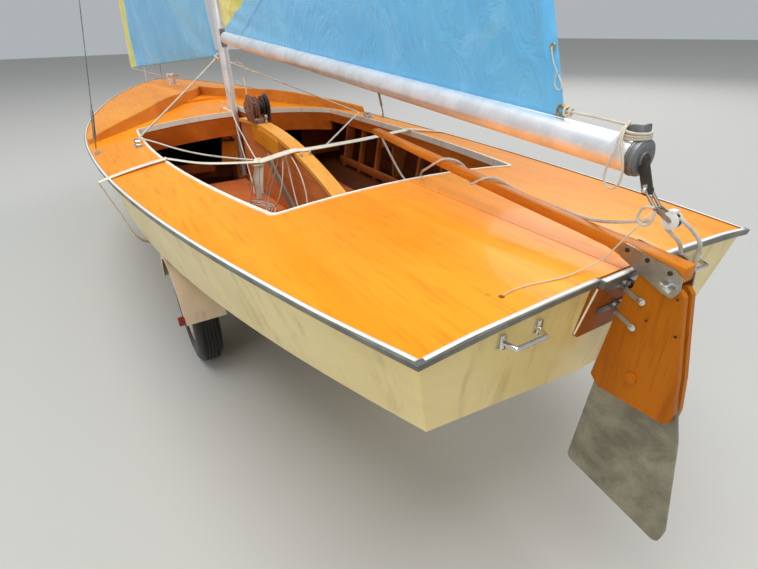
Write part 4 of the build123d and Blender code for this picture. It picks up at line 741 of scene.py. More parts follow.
def jib_place(s, t):
    t = t**1.25
    foot = JIB_TACK.lerp(JIB_CLEW, s)
    spot = foot.lerp(JIB_HEAD, t)
    free = math.sin(math.pi * s) * math.sin(math.pi * min(1.0, t * 1.02))
    from_tack, from_clew = (spot - JIB_TACK).length, (spot - JIB_CLEW).length
    folds = 0.012 * math.exp(-from_tack * 1.6) * math.sin(14.0 * math.atan2(spot.z - 0.1, 5.6 - spot.x))
    pull = 0.008 * math.exp(-from_clew * 1.8) * math.sin(12.0 * math.atan2(spot.z - 0.3, spot.x - 2.9))
    ripple = 0.006 * math.exp(-t * 14.0) * math.sin(spot.x * 24.0) * math.sin(math.pi * s)
    spot.y += 0.03 * free + (folds + pull) * min(1.0, 8.0 * s * (1 - s) + t) + ripple
    return spot


sailcloth("blue_jib_cloth", (0.347, 0.0, -0.938, 1.06), 0.95, (0.843, 0.0, 0.516, 1.3), 3.75)
jib = settle(sail_grid("jib_cloth", 50, 90, jib_place), "hull", "sail_blue", "blue_jib_cloth", ["jib"])
print("jib faces:", len(jib.data.polygons))

# %% [markdown]
# ## The strap and the cockpit's own fittings
#
# Cream webbing ties the boat to its trailer. It lies over both side decks and crosses the cockpit nearly
# straight, on the cap of the centreboard's trunk. To port of the trunk it is knotted, and two short ends hang
# from the knot. Each band of webbing is one edge that is drawn from place to place and then given its
# thickness.

# %% Webbing
BAND_STEPS = 6


def smooth_route(places):
    """Places along a soft line that passes through the chosen ones."""
    points = [Vector(place) for place in places]
    points = [points[0] * 2 - points[1]] + points + [points[-1] * 2 - points[-2]]
    line = []
    for index in range(1, len(points) - 2):
        a, b, c, d = points[index - 1 : index + 3]
        for step in range(BAND_STEPS):
            t = step / BAND_STEPS
            bend = (2 * a - 5 * b + 4 * c - d) * t**2 + (3 * b - a - 3 * c + d) * t**3
            line.append(0.5 * (2 * b + (c - a) * t + bend))
    return line + [points[-2]]


def band(name, places, across, wide, thick, replaces=(), slot_name="strap_webbing", finish=None):
    """A band of webbing along a route; across gives the way of its width at its two ends."""
    cloth = bmesh.new()
    line = smooth_route(places)
    start_way, end_way = (Vector(way).normalized() for way in across)
    edge = None
    for index, spot in enumerate(line):
        way = start_way.lerp(end_way, index / (len(line) - 1)).normalized() * wide / 2
        if edge is None:
            edge = cloth.edges.new([cloth.verts.new(boat(*place)) for place in (spot - way, spot + way)])
            continue
        low, high = edge.verts
        drawn = bmesh.ops.extrude_edge_only(cloth, edges=[edge])["geom"]
        edge = next(item for item in drawn if isinstance(item, bmesh.types.BMEdge))
        for old, target in ((low, spot - way), (high, spot + way)):
            new = next(v for v in edge.verts if any(e.other_vert(v) is old for e in v.link_edges))
            new.co = boat(*target)
    bmesh.ops.recalc_face_normals(cloth, faces=cloth.faces)
    return settle(cloth_object(name, cloth, thick), "hull", slot_name, finish, replaces)


ALONG = ((1, 0, 0), (1, 0, 0))
STRAP_AT = 1.735
STRAP_WIDE = 0.042
STRAP_THICK = 0.0022
STRAP_AFT = (0.098, 0.098, 0.094, 0.086, 0.086, 0.084, 0.07, 0.05, 0.03, 0.0)
strap_port = [(STRAP_AT + x, y, z) for x, y, z in mm(
    (0, 190, -78), (0, 270, -70), (0, 450, -46), (0, 590, -6), (0, 602, -4), (0, 720, -24), (0, 845, -53),
    (2, 862, -60), (8, 868, -75), (60, 825, -220), (120, 782, -365), (160, 700, -432), (200, 458, -570)
)]
strap_starboard = []
for (x, y, z), shift in zip(strap_port[3:], STRAP_AFT):
    share = shift / STRAP_AFT[0]
    strap_starboard.append((x - shift, -(y - 0.009 * share), z + 0.0018 * share))
strap_middle = mm((1735, 200, -77), (1698, 40, -40.5), (1690, -40, -41.5), (1662, -320, -27))
strap_middle.append(strap_starboard[0])
band("strap_port", strap_port, ALONG, STRAP_WIDE, STRAP_THICK, ["tie_strap"])
band("strap_middle", strap_middle, ((1, 0, 0.24), (1, 0, 0.04)), STRAP_WIDE, STRAP_THICK)
band("strap_starboard", strap_starboard, ALONG, STRAP_WIDE, STRAP_THICK)
print("the strap crosses at", STRAP_AT)

# %% Knot and hanging end
for turn in range(3):
    loop = []
    for angle in (0.0, 1.3, 2.6, 3.9, 5.2, 6.4):
        swing = math.cos(angle + 0.9 * turn)
        out = 0.196 + 0.008 * turn + 0.014 * math.sin(angle)
        loop.append((STRAP_AT + 0.02 * swing, out, -0.077 + 0.013 * swing))
    band("strap_knot_%d" % turn, loop, ((0.2, 1, 0.3), (0.5, 0.8, -0.3)), 0.02, 0.0025)
tail = mm((1738, 203, -83), (1735, 214, -120), (1731, 222, -165), (1735, 217, -215), (1738, 220, -262))
tail = band("strap_tail", tail, ((0.8, 0.6, 0), (0.3, 0.9, 0)), 0.028, STRAP_THICK)
fold = mm((1728, 190, -85), (1724, 199, -130), (1722, 206, -180), (1727, 207, -236))
fold = band("strap_tail_fold", fold, ((0.5, 0.8, 0), (0.9, 0.3, 0)), 0.026, STRAP_THICK)
print("knot tied, with two ends")

# %% Inside the cockpit
panel = Piece("mast_side_panel")
outline = mm((20, -67), (102, -72), (142, -290), (30, -308))
panel.plate(outline, 2.745, 0.012, 0.002, along_boat=True)
panel.done("hull", "dark_varnish", "pad_varnish")
bolt_rod = Piece("black_rod")
bolt_rod.rod((2.64, 0.15, -0.134), (2.64, 0.066, -0.141), 0.008, size=0.002)
bolt_rod.rod((2.64, 0.066, -0.141), (2.735, 0.06, -0.141), 0.006)
bolt_rod.done("hull", "tyre_rubber")
posts = Piece("side_posts")
for side, _ in SIDES:
    for x, out, wide in mm((1620, 675, 36), (2060, 675, 32), (2260, 675, 32), (2470, 690, 60)):
        posts.bar((x, side * (out - 0.05), -0.375), (x, side * out, -0.11), 0.022, wide, 0.003)
    posts.bar((0.9, side * 0.485, -0.3), (1.7, side * 0.605, -0.33), 0.02, 0.045, 0.003)
    posts.bar((1.7, side * 0.605, -0.33), (2.55, side * 0.64, -0.34), 0.02, 0.045, 0.003)
posts.done("hull", "frame_timber")
plank = Piece("loose_floor_board")
plank.bar((2.02, 0.06, -0.13), (1.62, 0.075, -0.352), 0.01, 0.055, 0.002)
plank.done("hull", "bunk_timber")
# The shelf takes the darker varnish as painted shade, for the shadow it lies in under the foredeck.
shelf = Piece("fore_shelf")
for side, _ in SIDES:
    shelf.bar((2.7, side * 0.2, -0.3), (2.7, side * 0.7, -0.285), 0.016, 0.06, 0.002)
shelf.done("hull", "frame_timber", "dark_varnish")
print("cockpit pieces done")

# %% [markdown]
# ## Running ropes
#
# The jib's two sheets run from the clew through the fairleads on the side decks and back to the strap.
# They are held tight, so they are not free cord. The slack lies in loops on the port side of the cockpit
# floor, and a few turns hang from the strap.

# %% Sheets and halyards
SHEET = 0.009
HALYARD = 0.007
THIN_LINE = 0.006
sheets = {
    "port_fore": ((2985, 3, 318), (2640, 300, 165), (2262, 640, 0)),
    "port_aft": ((2262, 640, 0), (2225, 610, 0), (2050, 480, -45), (1900, 330, -71), (1760, 215, -71)),
    "starboard_fore": ((2985, -3, 318), (2600, -340, 150), (2262, -640, 0)),
    "starboard_aft": ((2262, -640, 0), (2225, -607, 1), (2000, -405, -16), (1712, -148, -38.5)),
}
for name, places in sheets.items():
    rope("sheet_" + name, mm(*places), SHEET)
clew_knot = Piece("clew_knot")
for dx, dy, dz in mm((0, 12, 0), (8, -10, 6), (-10, 4, -10), (2, 0, 14)):
    clew_knot.ring((2.975 + dx, dy, 0.318 + dz), (0.4 + 30 * dx, 1, 40 * dz), 0.014, 0.0045, 18)
clew_knot.done("hull", "rope_white")
rope("halyard_to_knot", mm(
    (2655, 52, 160), (2650, 50, 20), (2450, 85, -10), (1950, 170, -60), (1755, 200, -75)
), HALYARD)
rope("halyard_down", mm(
    (2650, 40, 140), (2640, 40, -20), (2500, 62, -170), (2300, 85, -300), (2200, 110, -370)
), HALYARD)
rope("mast_loop", mm(
    (2735, 60, 75), (2700, 75, 83), (2690, 95, 60), (2700, 105, 38), (2735, 88, 33)
), THIN_LINE)
rope("halyard_bight", mm(
    (2735, -30, 300), (2700, -70, 300), (2690, -85, 255), (2695, -78, 205), (2705, -45, 165), (2735, -30, 195)
), THIN_LINE)
bar = Piece("halyard_bar")
bar.bar((2.64, -0.052, 0.215), (2.64, -0.06, 0.085), 0.012, 0.006, 0.0015)
bar.done("hull", "rope_white", "moulding_paint")
print("sheets led:", len(sheets))

# %% The pile of slack rope
TURNS = 3
PLACES_PER_TURN = 12
pile = mm((1760, 205, -90), (1800, 215, -160), (1860, 220, -260), (1930, 222, -345))
for index in range(TURNS * PLACES_PER_TURN):
    share = index / (TURNS * PLACES_PER_TURN)
    angle = math.tau * index / PLACES_PER_TURN + 1.9
    reach = 1.0 - 0.62 * share
    x = 1.97 + (0.155 * reach + 0.01 * math.sin(index * 2.3)) * math.cos(angle)
    y = 0.15 + 0.072 * reach * math.sin(angle)
    pile.append((x, y, -0.3835 + 0.006 * (1 - share) + 0.004 * math.sin(angle * 2)))
cord("rope_pile", pile, HALYARD)
cord("strap_loop_fore", mm(
    (1745, 95, -66), (1780, 110, -160), (1830, 135, -260), (1800, 165, -330), (1700, 150, -300),
    (1660, 120, -180), (1700, 90, -75), (1724, 80, -64)
), THIN_LINE)
cord("strap_loop_aft", mm(
    (1745, 60, -58), (1700, 64, -150), (1600, 82, -270), (1500, 96, -325), (1460, 82, -270),
    (1520, 62, -170), (1640, 50, -85), (1724, 50, -54)
), THIN_LINE)
cord("strap_loop_long", mm(
    (1745, 112, -63), (1790, 150, -190), (1760, 190, -320), (1640, 215, -366), (1560, 190, -360)
), THIN_LINE)

# %% [markdown]
# ## The tiller and what is tied to it
#
# The tiller is slimmer forward than the plain solid: it is 36 mm wide where the two steel cheeks hold it and
# 28 mm beyond them, and its depth falls from 23 mm to 16 mm at the tip. It is drawn through a few
# rectangles and its edges are rounded. The tail of the mainsheet is wound round it.

# %% Slim tiller
tiller_bar = Piece("tiller_bar")
tiller_bar.loft(mm(
    (-130, 52, 84, 17.5), (-60, 52, 89, 17.8), (-4, 60, 91.5, 17.8), (30, 67, 92.5, 14.8),
    (100, 73.1, 96.1, 14.2), (300, 87.8, 110.6, 14.2), (500, 103.8, 125.6, 14.2), (700, 121.3, 141, 14),
    (900, 140, 157, 13.8), (976, 147.5, 163, 13)
), 0.003)
tiller_bar.done("rudder", "tiller_varnish", replaces=["tiller"])
print("tiller drawn")

# %% Tail of the mainsheet round the tiller
MAINSHEET = 0.0075
cord("mainsheet_tail", mm(
    (-39, 0, 141), (-20, 0, 135.5), (3, -1, 127), (41, -6, 113), (81, -14, 101), (120, -18.5, 96),
    (200, -19, 98), (276, -19, 100), (305, -19, 104), (334, -19, 110), (361, -18.5, 116.5),
    (384, -10, 123.5), (402, 6, 123.5), (420, 19.5, 113), (440, 20, 99), (462, 6, 94), (486, -12, 99),
    (510, -20, 115), (535, -19.5, 129), (556, -6, 138.5), (577, 12, 138.5), (600, 20, 124), (634, 10, 108),
    (717, -30, 72), (790, -70, 45), (838, -100, 20), (862, -98, -35), (885, -70, -20), (930, -52, 35),
    (974, -18, 140)
), MAINSHEET, "rudder", "sheet_flecked")

# %% [markdown]
# ## The boom's outer end
#
# A short sleeve carries the tube on to a grey casting that closes it. On top of that is a small cleat for
# the rope that pulls the sail's corner aft, and below it hangs a link with a bright clevis, a shackle and a
# white block for the mainsheet. The sheet's two falls go down from the block to a fitting on the far side of
# the rudder's head.

# %% Casting, link and block
BLOCK_X, BLOCK_Z = -0.074, 0.154
metal("cast_grey", "8f9092", "6c6c6a", rough=0.45, dull=0.6, metallic=0.7)
metal("dark_steel", "5a554c", "38342e", rough=0.42, dull=0.5, metallic=0.6)
old_paint("white_plastic", "f4f4f2", "dcdcd8", "a8a7a0", rough=0.3, streak=0.1, grime=0.15)
casting = Piece("boom_end_casting")
casting.rod((0.02, 0, 0.2508), (0.006, 0, 0.2498), 0.0352, size=0.002)
casting.rod((0.022, 0, 0.2509), (0.016, 0, 0.2505), 0.0368, size=0.0015)
casting.rod((0.006, 0, 0.2498), (0.001, 0, 0.2495), 0.033, 0.026, size=0.001)
cleat = mm((46, 282), (48, 302), (31, 309), (11, 310), (9, 297), (6, 281))
casting.plate(cleat, 0, 0.028, 0.003)
casting.ring((0.001, 0.004, 0.25), (1, 0, 0.07), 0.012, 0.0035, 20)
casting.bar((2.69, 0, 0.4315), (2.738, 0, 0.432), 0.018, 0.022, 0.002)
casting.rod((2.738, 0, 0.421), (2.738, 0, 0.443), 0.012, size=0.001)
casting.done("boom", "fitting_steel", "cast_grey", ["boom_fittings"])
sleeve = Piece("boom_end_sleeve")
sleeve.rod((0.06, 0, 0.2536), (0.016, 0, 0.2505), 0.0334, size=0.0005, sides=64)
sleeve.done("boom", "spar_alloy")
link = Piece("boom_end_link")
link.rod((0.001, -0.001, 0.249), (0.001, 0.015, 0.249), 0.0105, size=0.0015)
link.bar((0.001, 0.007, 0.25), (-0.0185, 0.0035, 0.196), 0.0125, 0.0175, 0.002)
link.rod((-0.0185, -0.003, 0.196), (-0.0185, 0.01, 0.196), 0.0095, size=0.0015)
link.done("boom", "fitting_steel", "dark_steel")
clevis = Piece("boom_shackle")
clevis.rod((-0.018, -0.009, 0.196), (-0.018, 0.0125, 0.196), 0.0038, size=0.001)
clevis.ball((-0.0175, 0.0125, 0.1975), 0.0055)
clevis.bar((-0.016, 0.0115, 0.208), (-0.02, 0.0105, 0.192), 0.003, 0.008, 0.001)
clevis.done("boom", "deck_chrome")
shackle = Piece("mainsheet_shackle")
for y in (0.008, -0.008):
    shackle.rod((-0.019, y, 0.194), (-0.044, y, 0.168), 0.0033)
    shackle.bar((-0.043, y, 0.169), (-0.073, y, 0.155), 0.0022, 0.009, 0.0008)
shackle.rod((-0.044, -0.0115, 0.168), (-0.044, 0.0115, 0.168), 0.0036, size=0.001)
shackle.rod((BLOCK_X, -0.011, BLOCK_Z), (BLOCK_X, 0.011, BLOCK_Z), 0.0036, size=0.001)
shackle.done("boom", "fitting_steel")
sheave = Piece("mainsheet_sheave")
groove = mm((3, -5), (14.5, -5), (11.5, 0), (14.5, 5), (3, 5))
sheave.hoop((BLOCK_X, 0, BLOCK_Z), (0, 1, 0), groove, 32)
sheave.done("boom", "tyre_rubber")
cheeks = Piece("mainsheet_block_cheeks")
for side, _ in SIDES:
    cheeks.rod((BLOCK_X, side * 0.0052, BLOCK_Z), (BLOCK_X, side * 0.0076, BLOCK_Z), 0.0165, size=0.001)
cheeks.block((-0.08, -0.0076, 0.166), (-0.067, 0.0076, 0.174), 0.0015)
cheeks.done("boom", "moulding_paint", "white_plastic")
print("boom end built")

# %% Ropes at the boom's end
OUTHAUL = 0.0055
rope("outhaul", mm((196, 4, 311.5), (150, 4, 310.8), (95, 3, 307), (50, 2, 303.5)), OUTHAUL, "boom")
knots = Piece("outhaul_knots")
for x, z, tilt, radius in mm(
    (192, 311, 300, 8), (186, 311, -400, 9), (178, 310.5, 200, 7), (47, 302.5, 500, 7)
):
    knots.ring((x, 0.003, z), (1, tilt, 0.3 * tilt), radius, OUTHAUL / 2, 18)
for lean, z in ((-0.05, 0.2955), (0.0, 0.2895), (0.05, 0.2845)):
    knots.ring((0.0265, 0.0, z), (lean, 0.04, 1), 0.0225, OUTHAUL / 2)
knots.done("boom", "rope_white")
metal("brass", "d9b45a", "a37c2c", rough=0.35, dull=0.4)
eyelet = Piece("clew_eyelets")
for side, _ in SIDES:
    eyelet.ring((0.204, side * 0.003, 0.311), (0, 1, 0), 0.01, 0.0022)
eyelet.ring((0.247, 0.004, 0.43), (0, 1, 0), 0.006, 0.0016, 20)
eyelet.done("boom", "fitting_steel", "brass")
rope("leech_cord", mm((247, 7, 430), (241, 8, 412), (233, 8, 396), (224, 7, 383)), 0.003, "boom")
rope("leech_cord_loop", mm(
    (224, 7, 383), (228, 9, 366), (216, 10, 350), (205, 10, 352), (207, 9, 366), (219, 8, 378)
), 0.003, "boom")
cord("outhaul_slack", mm(
    (47, 10, 303.5), (45.5, 22, 298), (42, 34, 282), (39, 40, 264), (46, 40, 242), (53, 38.5, 216),
    (49, 37, 198), (34, 35.5, 190), (20, 35.5, 201), (16, 38, 230), (21, 40, 256), (33, 38, 279),
    (40, 24, 299), (43, 12, 304.5)
), 0.0045, "boom")

# %% Falls of the mainsheet
cord("mainsheet_fall_aft", mm(
    (-85.5, 0, 163), (-95, -4, 155), (-108, -14, 142), (-122, -24, 120), (-120, -29, 100), (-120, -31, 78),
    (-122, -31, 52), (-123, -30, 32)
), MAINSHEET, "boom", "sheet_flecked")
cord("mainsheet_fall_fore", mm(
    (-64, 0, 143), (-68, -3, 134), (-76, -9, 126), (-88, -18, 113), (-90, -26, 100), (-92, -30, 86)
), MAINSHEET, "boom", "sheet_flecked")
cord("becket_loop", mm(
    (-47, 12, 165), (-48, 13, 150), (-42, 13, 138), (-31, 13, 132), (-20, 13, 137), (-17, 13, 150),
    (-22, 13, 164), (-33, 12, 171), (-43, 11, 170)
), 0.0055, "boom", "sheet_flecked")
clevis = Piece("sheet_clevis")
clevis.plate(mm((-84, 90), (-106, 84), (-114, 70), (-92, 70)), -0.0315, 0.007, 0.0015)
clevis.bolt((-0.099, -0.035, 0.078), (0, -1, 0), 0.004, 0.003)
clevis.done("rudder", "deck_chrome")
cord("deck_cord", mm(
    (54, 270, 20.8), (58, 251, 22.2), (57, 231, 23.2), (53, 198, 24.7), (40, 158, 26.7), (32, 122, 28.5),
    (28, 82, 35), (20, 58, 43), (10, 46, 56), (-4, 41, 83), (-24, 40, 117), (-40, 36, 146), (-46, 20, 166)
), 0.003)

# %% [markdown]
# ## Small metal
#
# The rub rail's top catches the light, so a thin white strip along it stands as a painted highlight. The
# rudder's cheeks and straps get their bolts, the deck its two plugs, the trunk its drum winch and its two
# eyes, and the bow its chock.

# %% The rail's top, with a painted highlight
RAIL_TOP = mm(
    (0, 507, 1.4), (300, 590.6, -9), (800, 699.8, -25.6), (1300, 781.4, -39.9), (1800, 837.6, -50.7),
    (2300, 866.8, -56.6), (2800, 869.3, -57.1), (3300, 829.8, -49.2), (3800, 742.5, -32.8),
    (4300, 605.5, -11), (4700, 456, 7.5), (5000, 317.5, 20), (5200, 211.5, 26.5), (5350, 123.5, 29.9),
    (5460, 56, 31.4)
)
TRANSOM_TOP = mm((-5.5, 497, 3.2), (-6.5, 400, 14.2), (-8.8, 300, 21.4), (-9.8, 200, 26.8), (-10.4, 86, 30.8))
PAD_TOP = mm((-22.5, 82, 31.4), (-22.5, 0, 32.5), (-22.5, -82, 31.4))
# The white of the rail's top is a painted highlight: light falling on the top face, not a colour of the rail.
old_paint("rail_top_highlight", "fbfaf4", "e2e0d6", "a9a698", rough=0.28, streak=0.15, grime=0.3)


# A thin band that lays the painted highlight along a top edge of the rail.
def lay_rail_highlight(name, places, across, wide):
    band(name, places, across, wide, 0.0014, slot_name="rail_alloy", finish="rail_top_highlight")


for side, name in SIDES:
    tilt = (0, 1, -0.14 * side)
    lay_rail_highlight("rail_top_" + name, [(x, side * y, z) for x, y, z in RAIL_TOP], (tilt, tilt), 0.0085)
    lay_rail_highlight("transom_top_" + name, [(x, side * y, z) for x, y, z in TRANSOM_TOP], ALONG, 0.0095)
lay_rail_highlight("transom_top_middle", PAD_TOP, ALONG, 0.0125)
print("rail brightened")

# %% Bolts at the stern
bolts = Piece("cheek_bolts")
for side, _ in SIDES:
    for x, z in mm((-19, 80), (-62, 75), (-108, 67)):
        bolts.bolt((x, side * 0.0222, z), (0, side, 0), 0.0046, 0.0022)
bolts.done("rudder", "rusty_steel")
wing = Piece("rudder_wing_bolt")
wing.rod((-0.11, 0.022, 0.041), (-0.11, 0.0335, 0.041), 0.0052, size=0.001)
wing.rod((-0.11, -0.022, 0.041), (-0.11, -0.028, 0.041), 0.0065, size=0.001)
wing.bar((-0.122, 0.0325, 0.036), (-0.098, 0.0325, 0.046), 0.0035, 0.0075, 0.0012)
for x, z in mm((-71, -11), (-66, -74)):
    wing.rod((x, 0.0196, z), (x, 0.0226, z), 0.0085, size=0.0008)
    wing.bolt((x, 0.0224, z), (0, 1, 0), 0.0038, 0.002)
wing.done("rudder", "deck_chrome")
holes = Piece("rudder_marks")
for x, z in mm((-134, 24), (-91, -44), (-150, -48)):
    holes.bolt((x, 0.0236, z), (0, 1, 0), 0.003, 0.001)
holes.done("rudder", "rusty_steel")
foot_screws = Piece("handle_screws")
for y in (0.317, 0.223, -0.317, -0.223):
    foot_screws.block((-0.004, y - 0.007, -0.052), (-0.0005, y + 0.007, -0.02), 0.001)
    for z in (-0.026, -0.046):
        foot_screws.bolt((-0.0038, y, z), (-1, 0, 0), 0.0024, 0.0012)
foot_screws.done("hull", "deck_chrome")
plug = Piece("deck_plugs")
plug.rod((0.055, 0.273, 0.015), (0.055, 0.273, 0.0203), 0.006, size=0.0006)
plug.done("hull", "dark_varnish")
pale_plug = Piece("deck_plug_pale")
pale_plug.rod((0.078, 0.288, 0.015), (0.078, 0.288, 0.019), 0.0045, size=0.0004)
pale_plug.done("hull", "deck_varnish", "tiller_varnish")
pad_edge = Piece("pad_ply_edges")
for y in (0.0838, -0.0838):
    pad_edge.bar((-0.0145, y, 0.01), (0.016, y, -0.115), 0.0012, 0.004)
pad_edge.done("hull", "frame_timber", "moulding_paint")
print("stern bolted")

# %% Drum winch on the trunk
DRUM_X, DRUM_Z = 2.262, 0.09
PINION_X, PINION_Z = 2.346, 0.086
FOOT_Z = 0.0155
TEETH = 18
ACROSS = (0, 1, 0)


def arc(x, z, radius, start, end, steps):
    """Places on part of a circle, from one angle to another in degrees."""
    angles = [math.radians(start + (end - start) * index / steps) for index in range(steps + 1)]
    return [(x + radius * math.cos(a), z + radius * math.sin(a)) for a in angles]


old_paint("winch_brown", "8e5d4e", "6a4236", "3c231c", rough=0.42, streak=0.3, grime=0.5)
winch = Piece("winch_cheeks")
port_form = arc(DRUM_X, 0.099, 0.064, 205, 38, 14) + arc(PINION_X, PINION_Z, 0.027, 75, -70, 8)
winch.plate([(2.204, FOOT_Z)] + port_form + [(2.332, FOOT_Z)], 0.0475, 0.005, 0.0012)
starboard_form = arc(DRUM_X, 0.097, 0.066, 200, -20, 16)
winch.plate([(2.21, FOOT_Z)] + starboard_form + [(2.32, FOOT_Z)], -0.0475, 0.005, 0.0012)
winch.block((2.204, -0.048, 0.0145), (2.33, 0.048, 0.0175), 0.0008)
winch.ring((DRUM_X, 0.0505, 0.099), ACROSS, 0.0095, 0.003, 24)
winch.rod((PINION_X, 0.04, PINION_Z), (PINION_X, 0.053, PINION_Z), 0.01, size=0.001)
winch.done("hull", "rusty_steel", "winch_brown", ["winch_frame"])
drum = Piece("winch_gear")
drum.rod((DRUM_X, -0.044, DRUM_Z), (DRUM_X, 0.044, DRUM_Z), 0.03, size=0.001)
rim = mm((28, -16), (52, -16), (53, -13), (53, 13), (52, 16), (28, 16))
drum.hoop((DRUM_X, 0.022, DRUM_Z), ACROSS, rim)
for index in range(TEETH):
    for y, turn in ((0.012, 0.0), (0.03, math.pi / TEETH)):
        angle = math.tau * index / TEETH + turn
        reach = Vector((math.cos(angle), 0, math.sin(angle)))
        foot = Vector((DRUM_X, y, DRUM_Z)) + reach * 0.051
        drum.rod(foot, foot + reach * 0.0085, 0.0062, 0.004, sides=8)
drum.done("hull", "rusty_steel", "winch_brown", ["winch_drum"])
wire = Piece("winch_wire")
for index in range(8):
    y = -0.034 + 0.0052 * index
    wire.ring((DRUM_X, y, DRUM_Z), (0.02, 1, 0), 0.034 + 0.0012 * (index % 2), 0.0028)
for y, radius in ((-0.037, 0.061), (-0.02, 0.057), (0.009, 0.052)):
    disc = [(0.028, -0.0016), (radius, -0.0016), (radius, 0.0016), (0.028, 0.0016)]
    wire.hoop((DRUM_X, y, 0.092), ACROSS, disc, 40)
wire.done("hull", "spring_steel", "dark_steel")
eyes = Piece("trunk_eyes")
for y in (0.02, -0.026):
    eyes.block((1.628, y - 0.008, -0.059), (1.652, y + 0.008, -0.0525), 0.002)
    eyes.ring((1.64, y, -0.048), (0.3, 1, 0), 0.008, 0.0024, 20)
eyes.done("hull", "deck_chrome")
pawl = Piece("winch_pawl")
pawl.rod((2.201, -0.018, 0.058), (2.201, -0.018, FOOT_Z), 0.009, size=0.002)
pawl.done("hull", "deck_chrome")
print("winch built")

# %% Bow chock and the jib's foot
metal("polished_alloy", "ffffff", "dfe3e6", rough=0.3, dull=0.2, metallic=0.5)
chock = Piece("bow_chock")
horns = mm(
    (52, 22), (46, 60), (60, 104), (52, 128), (30, 117), (-4, 126), (-13, 108), (-2, 60), (-4, 22)
)
chock.plate(horns, 4.77, 0.02, 0.005, along_boat=True)
chock.block((4.735, -0.04, 0.0225), (4.805, 0.052, 0.029), 0.003)
chock.bar((4.725, 0.02, 0.109), (4.815, 0.02, 0.109), 0.022, 0.018, 0.005)
chock.done("hull", "deck_chrome", "polished_alloy")
feet = (
    mm((4900, 222, 181), (4910, 221, 120), (4920, 222, 55), (4930, 224, 30)),
    mm((4900, 162, 160), (4910, 164, 120), (4920, 168, 70), (4930, 172, 34)),
)
for index, places in enumerate(feet):
    rope("jib_foot_cord_%d" % index, places, THIN_LINE)
print("bow dressed")

# %% Wheels
AXLE_X, AXLE_Z = 1.64, -0.6825
TREAD = 262.5
section = [(158, 44), (166, 52), (180, 55.5), (200, 56.8), (217, 57), (238, 53.7), (250, 46), (259, 39.5)]
section.append((TREAD, 34))
for groove in (22.5, 7.5):
    section += [(TREAD, groove + 2.5), (256.5, groove + 2), (256.5, groove - 2), (TREAD, groove - 2.5)]
tyre_section = mm(*section, *((radius, -out) for radius, out in reversed(section)))


def about_axle(radius, angle, out):
    """A place round the wheels' axle."""
    return AXLE_X + radius * math.cos(angle), out, AXLE_Z + radius * math.sin(angle)


for side, name in SIDES:
    tyre = Piece("ribbed_tyre_" + name)
    tyre.hoop((AXLE_X, side * 0.628, AXLE_Z), ACROSS, tyre_section, 72)
    tyre.done("wheel_" + name, "tyre_rubber", replaces=["tyre_" + name], smooth=0.5)
    nuts = Piece("wheel_nuts_" + name)
    for index in range(4):
        angle = math.tau * (index + 0.5) / 4
        foot, top = (about_axle(0.0285, angle, side * out) for out in (0.678, 0.6845))
        nuts.rod(foot, top, 0.0065, sides=6)
    nuts.rod((AXLE_X, side * 0.676, AXLE_Z), (AXLE_X, side * 0.692, AXLE_Z), 0.017, 0.014, size=0.002)
    nuts.ring((AXLE_X + 0.15, side * 0.676, AXLE_Z), (1, 0, 0), 0.0035, 0.0016, 12)
    nuts.done("wheel_" + name, "rusty_steel")
    bead = [about_axle(0.2575, math.radians(17 + 12.166 * index), side * 0.7105) for index in range(13)]
    rope("fender_bead_" + name, bead, 0.006, "hull", "fender_paint", "fender_paint")
print("wheels shod")

# %% [markdown]
# ## The stage
#
# A pale floor, soft light from large lamps, and a camera that stands where the photographer stood: behind
# the port quarter, a little above the deck and quite close, with a wide lens. The camera was solved from
# the boat's own lines, and its three axes are worked out here from where it stands and what it looks at.

# %% Camera
PHOTO_WIDTH = 758
FOCAL_PIXELS = 478.2
CAMERA_AT = boat(-0.503, 0.868, 0.475)
LOOKS_AT = boat(0.255, 0.424, 0.0)
CAMERA_ROLL = 0.0257


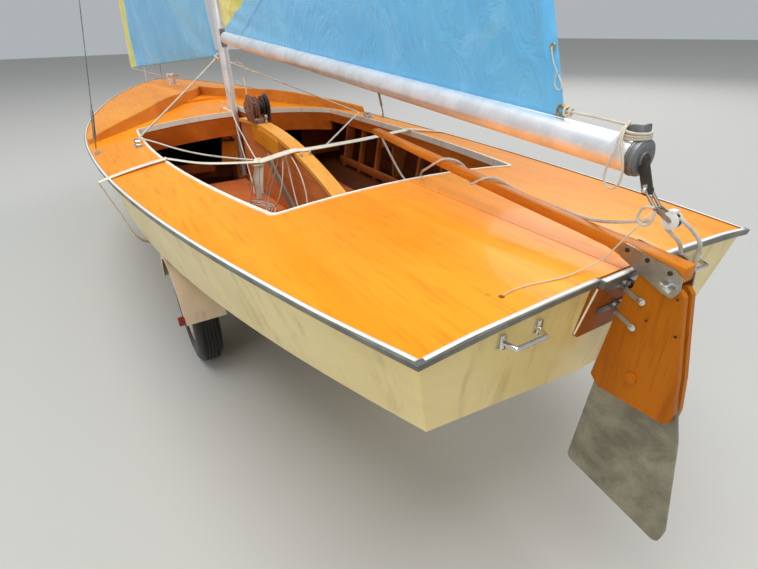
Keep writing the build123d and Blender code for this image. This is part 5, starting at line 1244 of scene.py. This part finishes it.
def look(start, end, roll):
    """The turn of a camera at one place that looks at another, rolled about its own view."""
    ahead = (end - start).normalized()
    right = ahead.cross(Vector((0, 0, 1))).normalized()
    down = ahead.cross(right)
    rolled_right = right * math.cos(roll) + down * math.sin(roll)
    rolled_down = down * math.cos(roll) - right * math.sin(roll)
    return Matrix((rolled_right, -rolled_down, -ahead)).transposed().to_4x4()


lens = bpy.data.cameras.new("photo camera")
lens.sensor_width = 36.0
lens.sensor_fit = "HORIZONTAL"
lens.lens = FOCAL_PIXELS / PHOTO_WIDTH * lens.sensor_width
lens.clip_start = 0.02
lens.clip_end = 200.0
camera = bpy.data.objects.new("photo camera", lens)
camera.matrix_world = Matrix.Translation(CAMERA_AT) @ look(CAMERA_AT, LOOKS_AT, CAMERA_ROLL)
bpy.context.scene.collection.objects.link(camera)
bpy.context.scene.camera = camera
print("lens of", round(lens.lens, 2), "mm")

# %% Floor and light
def soft_lamp(name, place, target, size, power, colour=(1, 1, 1)):
    lamp = bpy.data.lights.new(name, "AREA")
    lamp.shape = "DISK"
    lamp.size = size
    lamp.energy = power
    lamp.color = colour
    made = bpy.data.objects.new(name, lamp)
    away = (Vector(place) - Vector(target)).to_track_quat("Z", "Y")
    made.matrix_world = Matrix.Translation(place) @ away.to_matrix().to_4x4()
    bpy.context.scene.collection.objects.link(made)


Finish("studio_chalk", Roughness=0.9).done(Base_Color=paint("bdbbb6"))
flat = bmesh.new()
bmesh.ops.create_grid(flat, x_segments=1, y_segments=1, size=40.0)
floor = as_object("studio floor", flat)
floor.data.materials.append(finishes["studio_chalk"])
bpy.context.scene.collection.objects.link(floor)
soft_lamp("sky lamp", (-3.0, 2.0, 14.0), (0, 0, 0.8), 12.0, 1750, (0.96, 0.98, 1.0))
soft_lamp("port lamp", (-8.0, 9.0, 6.0), (-1, 0, 0.8), 6.0, 260, (1.0, 0.97, 0.93))
soft_lamp("starboard lamp", (4.0, -10.0, 7.0), (-1, 0, 0.8), 6.0, 420)
world = bpy.data.worlds.new("studio air")
world.use_nodes = True
sky = world.node_tree.nodes["Background"].inputs
sky["Color"].default_value = (0.85, 0.9, 0.95, 1.0)
sky["Strength"].default_value = 0.5
bpy.context.scene.world = world
bpy.context.scene.view_settings.view_transform = "Standard"
print("stage is set")
